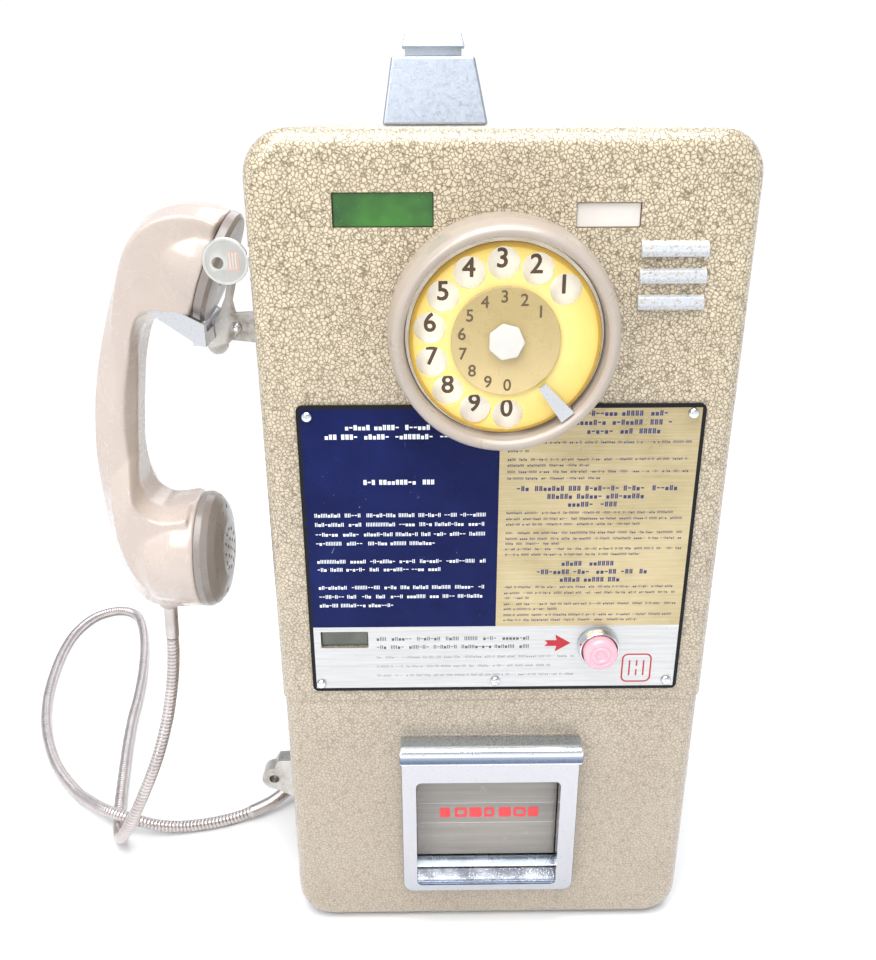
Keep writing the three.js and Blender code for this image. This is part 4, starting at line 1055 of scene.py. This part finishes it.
def digit(text, size, x, z, y, weight):
    """One printed numeral facing the front, its middle at x, z, thickened by a ring of shifted copies."""
    copies = []
    for step in range(6):
        curve = bpy.data.curves.new("digit", "FONT")
        curve.body = text
        curve.size = size * MM * 1.38
        curve.align_x = "CENTER"
        curve.align_y = "CENTER"
        curve.extrude = PRINT_DEPTH * MM
        holder = placed("digit", curve)
        graph = bpy.context.evaluated_depsgraph_get()
        mesh = bpy.data.meshes.new_from_object(holder.evaluated_get(graph))
        bpy.data.objects.remove(holder)
        turn = math.pi / 3 * step
        spot = Vector((x + weight * math.cos(turn), y - 0.004 * step, z + weight * math.sin(turn))) * MM
        mesh.transform(Matrix.Translation(spot) @ Matrix.Rotation(math.pi / 2, 4, "X"))
        copies.append(placed("digit", mesh))
    return merged("digit", copies)


def dial_digits(name, size, radius, y, weight, body, drop=0.0):
    """The ten numerals round the dial."""
    digits = []
    for index in range(10):
        x, z = around_dial(index, radius)
        digits.append(digit(str((index + 1) % 10), size, x, z + drop, y, weight))
    piece = merged(name, digits)
    finish(piece, body, "black_plastic", ink(name, (0.115, 0.072, 0.035), 0.1))


def dial_bezel():
    """The deep ring round the dial, rolled over at its crown."""
    foot = BEZEL.y1
    crown = BEZEL.y0
    outer = BEZEL_RADIUS
    profile = fillet([
        (outer, foot), (outer, foot - 8, 6), (outer - 0.6, foot - 18, 8), (outer - 2.4, crown + 2.2, 5),
        (outer - 5.0, crown, 2.6), (outer - 7.4, crown + 2.0, 2), (outer - 7.5, foot - 16, 0.3),
        (38, foot - 16, 0.3), (38, foot)], 0, 8)
    bezel = turned("moulded_dial_bezel", profile, DIAL, segments=160, closed=True)
    dress(smooth(bezel, 40), "upper_case", "greige_plastic", "dial_bezel")


def number_plate():
    """The white disc behind the finger holes, with the large numerals."""
    radius = (NUMBERS.x1 - NUMBERS.x0) / 2
    bore = 4.5
    profile = fillet([(bore, NUMBERS.y1), (radius, NUMBERS.y1, 0.3), (radius, NUMBERS.y0, 0.4),
                      (bore, NUMBERS.y0, 0.2)], 0, 3)
    disc = turned("number_disc_painted_glow", profile, DIAL, segments=128, closed=True)
    # The disc's material carries a faint painted glow that brightens it in the shaded finger holes.
    finish(smooth(disc, 40), "upper_case", "white_plastic", LOOK["number_disc_painted_glow"], "number_plate")
    dial_digits("dial_digits_large", 8.0, HOLE_CIRCLE, NUMBERS.y0, 0.24, "upper_case", 0.8)


def finger_wheel():
    """The clear wheel with its ten finger holes and its shaft."""
    rim = (WHEEL.x1 - WHEEL.x0) / 2
    back = CENTRE.y1 + 3.1
    front = back - 2.8
    shaft = 4
    profile = fillet([(0, front), (rim - 2.2, front, 0.4), (rim - 0.2, front + 1.4, 0.9), (rim, back, 0.3),
                      (shaft, back, 0.2), (shaft, WHEEL.y1, 0.3), (0, WHEEL.y1)], 0, 5)
    wheel = turned("amber_finger_wheel", profile, DIAL, segments=144)
    holes = []
    for index in range(10):
        x, z = around_dial(index, HOLE_CIRCLE)
        holes.append(rod(FINGER_HOLE, (x, back - 5, z), (x, back + 2, z), 56))
    carve(wheel, *holes)
    dress(smooth(soften(wheel, 0.5, 3, 60), 40), "dial", "amber_plastic", "finger_wheel")


def dial_centre():
    """The centre card with the small numerals, and the seven-sided cap."""
    radius = (CENTRE.x1 - CENTRE.x0) / 2
    profile = fillet(
        [(0, CENTRE.y1), (radius, CENTRE.y1, 0.1), (radius, CENTRE.y0, 0.5), (0, CENTRE.y0)], 0, 4)
    card = turned("centre_card", profile, DIAL, segments=96)
    dress(smooth(card, 40), "dial", "dial_olive", "centre_plate")
    dial_digits("dial_digits_small", 5.1, 18.6, CENTRE.y0, 0.1, "dial")
    sides, reach = 7, 7.8
    ring = [(CAP.x + reach * math.cos(math.pi / 2 + 0.2 + 2 * math.pi * i / sides),
             CAP.z + reach * math.sin(math.pi / 2 + 0.2 + 2 * math.pi * i / sides)) for i in range(sides)]
    cap = extruded("seven_sided_cap", fillet(ring, 1.6), "xz", CAP.y0, CAP.y1)
    dress(smooth(soften(cap, 0.7, 4, 50), 40), "dial", "white_plastic", "dial_cap")


# ---------------------------------------------------------------- token return
def return_frame():
    """The plated frame with its rolled hood, and the sloping sill in its opening."""
    back = RETURN.y1
    front = back - 7.5
    side = 0.8
    outline = rounded_rectangle(RETURN.x0 + side, RETURN.x1 - side, RETURN.z0, 124, 6)
    slab = soften(extruded("plated_return_frame", outline, "xz", front, back), 2.4, 5, 50)
    hood = fillet(
        [(back, RETURN.z1), (RETURN.y0, RETURN.z1, 6.3), (RETURN.y0, 120.8, 1.8), (back, 120.8)], 0, 10)
    cover = soften(extruded("hood", hood, "yz", RETURN.x0 + 0.5, RETURN.x1 - 0.5), 1.6, 4, 40)
    carve(slab, cover, operation="UNION")
    opening = extruded("opening", rounded_rectangle(-40.5, 37.2, 34.4, 106, 3), "xz", front - 20, back + 5)
    carve(slab, opening)
    smooth(soften(slab, 0.9, 3, 60), 40)
    # The frame's colour carries painted reflections and painted shadow lines by height.
    finish(slab, "lower_case", "chrome", LOOK["frame_chrome_painted_light"], "return_frame")
    section = fillet([(front + 0.5, 34.6), (front + 0.5, 36.2, 0.6), (back, 39.1), (back, 34.6)], 0, 4)
    sill = extruded("plated_return_sill", section, "yz", -40.3, 37)
    # The sill's colour carries a painted shadow line and a painted reflection band by height.
    finish(smooth(sill, 40), "lower_case", "chrome", LOOK["sill_chrome_painted_light"])


def return_cup():
    """The plated cup behind the flap."""
    cup = smooth(soften(from_node("plated_return_cup", "return_cup"), 0.5, 2, 40), 40)
    # The cup's colour carries painted reflection and painted shade bands by height.
    finish(cup, "lower_case", "chrome", LOOK["cup_chrome_painted_light"], "return_cup")


def return_flap():
    """The smoked flap with a row of plain red blocks for its word, between two pale moulded lines."""
    flap = from_node("smoked_return_flap", "return_flap")
    dress(smooth(soften(flap, 0.35, 2, 50), 40), "flap", "grey_acrylic", "return_flap")
    face = Box("flap_pin").y - 1
    row_z, height, pitch, x0, count = 73.7, 6.8, 8.25, -27.6, 7
    blocks = []
    for index in range(count):
        left = x0 + index * pitch
        width = 7.0 if index % 3 else 5.8
        outline = rounded_rectangle(left, left + width, row_z - height / 2, row_z + height / 2, 1.2, 4)
        mark = extruded("mark", outline, "xz", face - PRINT_DEPTH, face)
        if index % 2:
            inner = rounded_rectangle(left + 1.5, left + width - 1.5, row_z - 1.5, row_z + 1.5, 0.5, 3)
            carve(mark, extruded("counter", inner, "xz", face - 1, face + 1))
        blocks.append(mark)
    marks = merged("flap_print_red", blocks)
    finish(marks, "flap", "pink_plastic", ink("flap_print_red", (0.80, 0.05, 0.06), 0.5))
    lines = [block("line", FLAP.x0 + 1.5, FLAP.x1 - 1.5, face - 0.12, face, z, z + 0.5) for z in (66.3, 80.2)]
    pale = ink("flap_lines", (0.52, 0.50, 0.47), 0.3)
    finish(merged("flap_lines", lines), "flap", "grey_acrylic", pale)


# ---------------------------------------------------------------- key, lock, lug and hook
def cover_key():
    """The key: a stamped round bow with a raised rim, and a flat blade in the lock."""
    radius, rim = 10.4, 1.2
    middle = Vector((KEY.x0 + radius, KEY.y, KEY.z))
    half = 3.2
    disc = radius - 0.3
    mouth = math.asin(half / disc)
    steps = 72
    outline = []
    for step in range(steps + 1):
        angle = mouth + (2 * math.pi - 2 * mouth) * step / steps
        outline.append((middle.x + disc * math.cos(angle), middle.z + disc * math.sin(angle)))
    outline += [(KEY.x1, middle.z - half), (KEY.x1, middle.z + half)]
    bow = extruded("stamped_key", outline, "xz", KEY.y - 0.75, KEY.y + 0.75)
    ring = [(radius - rim, -0.6), (radius - rim, -0.95), (radius - 0.25, -1), (radius, -0.75), (radius, 0.75),
            (radius - 0.25, 1), (radius - rim, 0.95), (radius - rim, 0.6)]
    carve(bow, turned("rim", ring, middle, segments=96, closed=True), operation="UNION")
    hole = Vector((middle.x - 3.6, 0, middle.z - 0.8))
    carve(bow, rod(2.7, hole + Y_AXIS * (KEY.y - 3), hole + Y_AXIS * (KEY.y + 3)))
    dress(smooth(bow, 40), "cover_key", "zinc_steel", "key")
    stamp = rounded_rectangle(middle.x + 1.0, middle.x + 6.2, middle.z - 4.6, middle.z + 4.6, 0.4, 3)
    plate = extruded("key_stamp", stamp, "xz", KEY.y - 0.82, KEY.y - 0.74)
    finish(plate, "cover_key", "copper", ink("key_stamp", (0.55, 0.40, 0.33), 0.6))
    bars = [block("bar", middle.x + 1.7 + 1.3 * i, middle.x + 2.4 + 1.3 * i, KEY.y - 0.9, KEY.y - 0.82,
                  middle.z - 3.6, middle.z + 3.6) for i in range(3)]
    finish(merged("key_stamp_bars", bars), "cover_key", "zinc_steel", LOOK["zinc_steel"])


def rounded_nodes():
    """Pieces whose CAD shape only lacks the small rounds of a cast, stamped or moulded part."""
    table = (
        ("coin_chute", "cast_coin_chute", "upper_case", "cast_aluminium", 1.3, 4),
        ("slot_head", "cast_slot_head", "upper_case", "cast_aluminium", 0.9, 3),
        ("finger_stop", "bent_finger_stop", "upper_case", "chrome", 0.35, 3),
        ("padlock_lug", "cast_padlock_lug", "lower_case", "worn_steel", 1.4, 4),
        ("hook_lever", "stamped_hook_lever", "hook", "worn_steel", 0.6, 3),
        ("hook_fork", "plated_hook_fork", "hook", "chrome", 1.2, 4),
        ("lock_body", "turned_lock_body", "upper_case", "chrome", 0.3, 2),
        ("lock_plug", "turned_lock_plug", "cover_key", "brass", 0.2, 2),
        ("cord_gland", "turned_cord_gland", "chassis", "worn_steel", 0.5, 3),
        ("hook_guard", "hammered_hook_guard", "chassis", "case_enamel", 0.3, 2),
        ("gland_plate", "hammered_gland_plate", "chassis", "case_enamel", 0.3, 2),
        ("back_plate", "pressed_back_plate", "chassis", "zinc_steel", 0.5, 2),
    )
    for node, name, body, slot, width, segments in table:
        dress(smooth(soften(from_node(name, node), width, segments, 35), 40), body, slot, node)


def hook_rivet():
    """The bright dome on the hook lever's front face."""
    x, z = -129.2, 337.4
    face = HANDSET_Y - 1.5
    profile = [(0, -2.2), (0.9, -2.1), (1.8, -1.6), (2.5, -0.8), (2.7, 0.1), (0, 0.1)]
    rivet = turned("hook_rivet", profile, Vector((x, face, z)), segments=32)
    dress(smooth(rivet, 40), "hook", "chrome")


# ---------------------------------------------------------------- handset
EAR_TILT = math.radians(-23)
EAR_FACE = Vector((-132.75, HANDSET_Y, 365.85))
EAR_AXIS = Vector((math.cos(EAR_TILT), 0, math.sin(EAR_TILT)))
EAR_RADIUS = 28.3
MOUTH_FACE = Vector((-156.3, HANDSET_Y, 212.7))
MOUTH_AXIS = X_AXIS
MOUTH_RADIUS = 32.2
OUTER_LINE = [
    (-128.5, 393.2), (-137, 396.8), (-151.6, 397.6), (-166.7, 391.6), (-178.8, 375.6), (-192.8, 343.6),
    (-203.9, 304.5), (-208.4, 262), (-203.4, 215.4), (-195.6, 191), (-184, 181.6), (-160, 180.9),
]
INNER_LINE = [
    (-160, 244.6), (-174.9, 243.4), (-184.4, 252), (-185.2, 272), (-181.6, 304.3), (-176.4, 333),
    (-169, 343.4), (-149.4, 343),
]


def stations(points, count):
    """The smooth line through some points of a side outline, as a given number of (x, z) places."""
    line, _ = spline([(x, 0, z) for x, z in points], 2.0)
    at = np.linspace(0, len(line) - 1, count)
    return np.stack([np.interp(at, np.arange(len(line)), line[:, axis]) for axis in (0, 2)], axis=1)


def handle_body():
    """The moulding between the caps: eight-sided sections from the outer line to the inner."""
    count = 150
    outer = stations(OUTER_LINE, count)
    inner = stations(INNER_LINE[::-1], count)
    across = inner - outer
    across /= np.linalg.norm(across, axis=1)[:, None]
    height = (outer[:, 1] + inner[:, 1]) / 2
    grip = np.clip((height - 236) / 28, 0, 1) * np.clip((364 - height) / 34, 0, 1)
    breadth = 23 - 9 * grip
    level = outer[:, 1]
    bevel = 4 + 8.5 * np.clip((380 - level) / 55, 0, 1) + 4 * np.clip((236 - level) / 30, 0, 1)
    outer_in = outer + across * bevel[:, None]
    inner_in = inner - across * 5.5
    corners = ((outer, -0.42), (outer, 0.42), (outer_in, 1), (inner_in, 1),
               (inner, 0.5), (inner, -0.5), (inner_in, -1), (outer_in, -1))
    vertices = []
    for line, share in corners:
        for (x, z), half in zip(line.tolist(), breadth.tolist()):
            vertices.append((x, HANDSET_Y + share * half, z))
    sides = len(corners)
    faces = [tuple(k * count for k in range(sides)),
             tuple((k + 1) * count - 1 for k in reversed(range(sides)))]
    for k in range(sides):
        low, high = k * count, (k + 1) % sides * count
        faces += [(low + i, low + i + 1, high + i + 1, high + i) for i in range(count - 1)]
    return make("grip", vertices, faces)


def handset_handle():
    """Grip and cups melted into one moulding, then hollowed for the capsules."""
    ear_side = fillet([(0, -6), (EAR_RADIUS, -6, 0.8), (EAR_RADIUS - 1, -13, 6), (EAR_RADIUS - 6, -28, 9),
                       (15, -35, 8), (0, -36)], 0, 6)
    mouth_side = fillet([(0, -0.3), (MOUTH_RADIUS, -0.3, 0.8), (MOUTH_RADIUS - 0.6, -12, 8),
                         (MOUTH_RADIUS - 4, -26, 9), (19, -38, 8), (0, -40)], 0, 6)
    ear = turned("ear_cup", ear_side, EAR_FACE, EAR_AXIS)
    mouth = turned("mouth_cup", mouth_side, MOUTH_FACE, MOUTH_AXIS)
    collar = rod(6.2, (-181.3, HANDSET_Y, 176.9), (-181.3, HANDSET_Y, 192), 40)
    body = merged("moulded_handset", [handle_body(), ear, mouth, collar])
    remesh = body.modifiers.new("melt", "REMESH")
    remesh.mode = "VOXEL"
    remesh.voxel_size = 0.9 * MM
    relax = body.modifiers.new("relax", "SMOOTH")
    relax.factor = 0.5
    relax.iterations = 8
    bake(body)
    hollows = [
        rod(23, EAR_FACE + EAR_AXIS * 4, EAR_FACE - EAR_AXIS * 20, 64),
        rod(26, MOUTH_FACE + MOUTH_AXIS * 4, MOUTH_FACE - MOUTH_AXIS * 17, 64),
    ]
    carve(body, *hollows)
    mesh = body.data
    mesh.polygons.foreach_set("use_smooth", [True] * len(mesh.polygons))
    mesh.set_sharp_from_angle(angle=math.radians(50))
    dress(body, "handset", "handset_plastic", "handset_handle")


def pierced_cap(name, node, profile, face, axis, holes, depth_at, screws):
    """A screwed-on cap with real sound holes."""
    cap = turned(name, profile, face, axis, 112)
    across = axis.cross(Y_AXIS).normalized()
    cutters = []
    for places, radius in ((holes, 1.15), (screws, 1.3)):
        for a, b in places:
            foot = face + across * a + Y_AXIS * b
            cutters.append(rod(radius, foot + axis * (depth_at + 6), foot + axis * (depth_at - 3), 14))
    carve(cap, *cutters)
    dress(smooth(cap, 40), "handset", "cap_plastic", node)


def hole_rings(*rings):
    """A middle hole and rings of holes, as (radius, count) pairs ask."""
    holes = [(0.0, 0.0)]
    for radius, count in rings:
        for i in range(count):
            angle = 2 * math.pi * i / count + 0.2 * radius
            holes.append((radius * math.cos(angle), radius * math.sin(angle)))
    return holes


def handset_caps():
    """The ear cap with one ring of holes, and the mouth cap with two rings and two screws."""
    ear = fillet([(0, -5.7), (EAR_RADIUS, -5.7, 0.3), (EAR_RADIUS, -1.8, 0.9), (EAR_RADIUS - 1.6, -0.1, 0.9),
                  (9, 0, 0.6), (6, -1, 0.5), (0, -1)], 0, 5)
    pierced_cap("pierced_ear_cap", "ear_cap", ear, EAR_FACE, EAR_AXIS, hole_rings((4, 6)), -3, ())
    mouth = fillet([(0, 0), (MOUTH_RADIUS, 0, 0.3), (MOUTH_RADIUS, 3.4, 1.4), (MOUTH_RADIUS - 1.8, 6.8, 1.6),
                    (26, 10.2, 6), (16, 12.3, 8), (0, 13)], 0, 6)
    holes = hole_rings((5.5, 6), (11, 12))
    screws = ((22, 8), (-22, -8))
    pierced_cap("pierced_mouth_cap", "mouth_cap", mouth, MOUTH_FACE, MOUTH_AXIS, holes, 9.5, screws)


# ---------------------------------------------------------------- carried-over CAD nodes
def dress_frame():
    """Every CAD node that still shows gets the procedural look of its slot."""
    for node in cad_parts.values():
        slots = node.data.materials
        for index, material in enumerate(slots):
            slots[index] = LOOK[material.name]


# ---------------------------------------------------------------- room
def area_light(name, place, target, size, power):
    """A square soft light aimed at a point."""
    data = bpy.data.lights.new(name, "AREA")
    data.size = size
    data.energy = power
    light = placed(name, data)
    light.location = place
    light.rotation_mode = "QUATERNION"
    light.rotation_quaternion = (Vector(target) - Vector(place)).to_track_quat("-Z", "Y")


def add_studio():
    """A white room: pale below and at eye level, greyer above, with a wide soft box overhead."""
    world = bpy.data.worlds.new("studio")
    bpy.context.scene.world = world
    world.use_nodes = True
    tree = world.node_tree
    background = tree.nodes["Background"]
    coordinates = tree.nodes.new("ShaderNodeTexCoord")
    parts = tree.nodes.new("ShaderNodeSeparateXYZ")
    ramp = tree.nodes.new("ShaderNodeValToRGB")
    lift = tree.nodes.new("ShaderNodeMath")
    lift.operation = "MULTIPLY_ADD"
    lift.inputs[1].default_value = 0.5
    lift.inputs[2].default_value = 0.5
    tree.links.new(coordinates.outputs["Generated"], parts.inputs[0])
    tree.links.new(parts.outputs["Z"], lift.inputs[0])
    tree.links.new(lift.outputs[0], ramp.inputs[0])
    tree.links.new(ramp.outputs[0], background.inputs["Color"])
    set_stops(ramp, (
        (0.0, 1.0), (0.58, 1.0), (0.69, (0.50, 0.54, 0.60)), (0.92, (0.40, 0.44, 0.50)),
        (0.985, (0.86, 0.92, 1.0))))
    background.inputs["Strength"].default_value = 1.03

    middle = (0, 0, 0.25)
    area_light("soft_box", (-0.15, -0.55, 2.0), middle, 1.6, 52)
    area_light("key_light", (-0.9, -1.2, 1.3), middle, 0.7, 9)
    area_light("back_light", (0.3, 1.4, 1.4), middle, 1.2, 9)


def add_floor():
    """The plain pale floor."""
    reach = 0.95 / MM
    corners = [(-reach, -reach, 0), (reach, -reach, 0), (reach, reach, 0), (-reach, reach, 0)]
    floor = make("floor", corners, [(0, 1, 2, 3)])
    floor.location.z = -0.0002
    paint = Paint("floor", (0.86, 0.86, 0.86), 0.6)
    paint.set("Base Color", paint.ramp(paint.noise(300, 2.0), (0.3, 0.85), (0.7, 0.87)))
    floor.data.materials.append(paint.material)


add_camera()
add_cord()
upper_cover()
lower_cover()
instruction_plate()
for screw_index in range(5):
    screw_dome(screw_index)
plate_print()
red_marks()
window_pane("green_window", "green_pane", "green_acrylic")
window_pane("label_window", "label_pane", "label_white")
window_pane("token_window", "token_pane", "dark_glass")
button_and_collar()
dial_bezel()
number_plate()
finger_wheel()
dial_centre()
return_frame()
return_cup()
return_flap()
cover_key()
rounded_nodes()
hook_rivet()
handset_handle()
handset_caps()
dress_frame()
add_floor()
add_studio()
bpy.context.scene.view_settings.view_transform = "Standard"
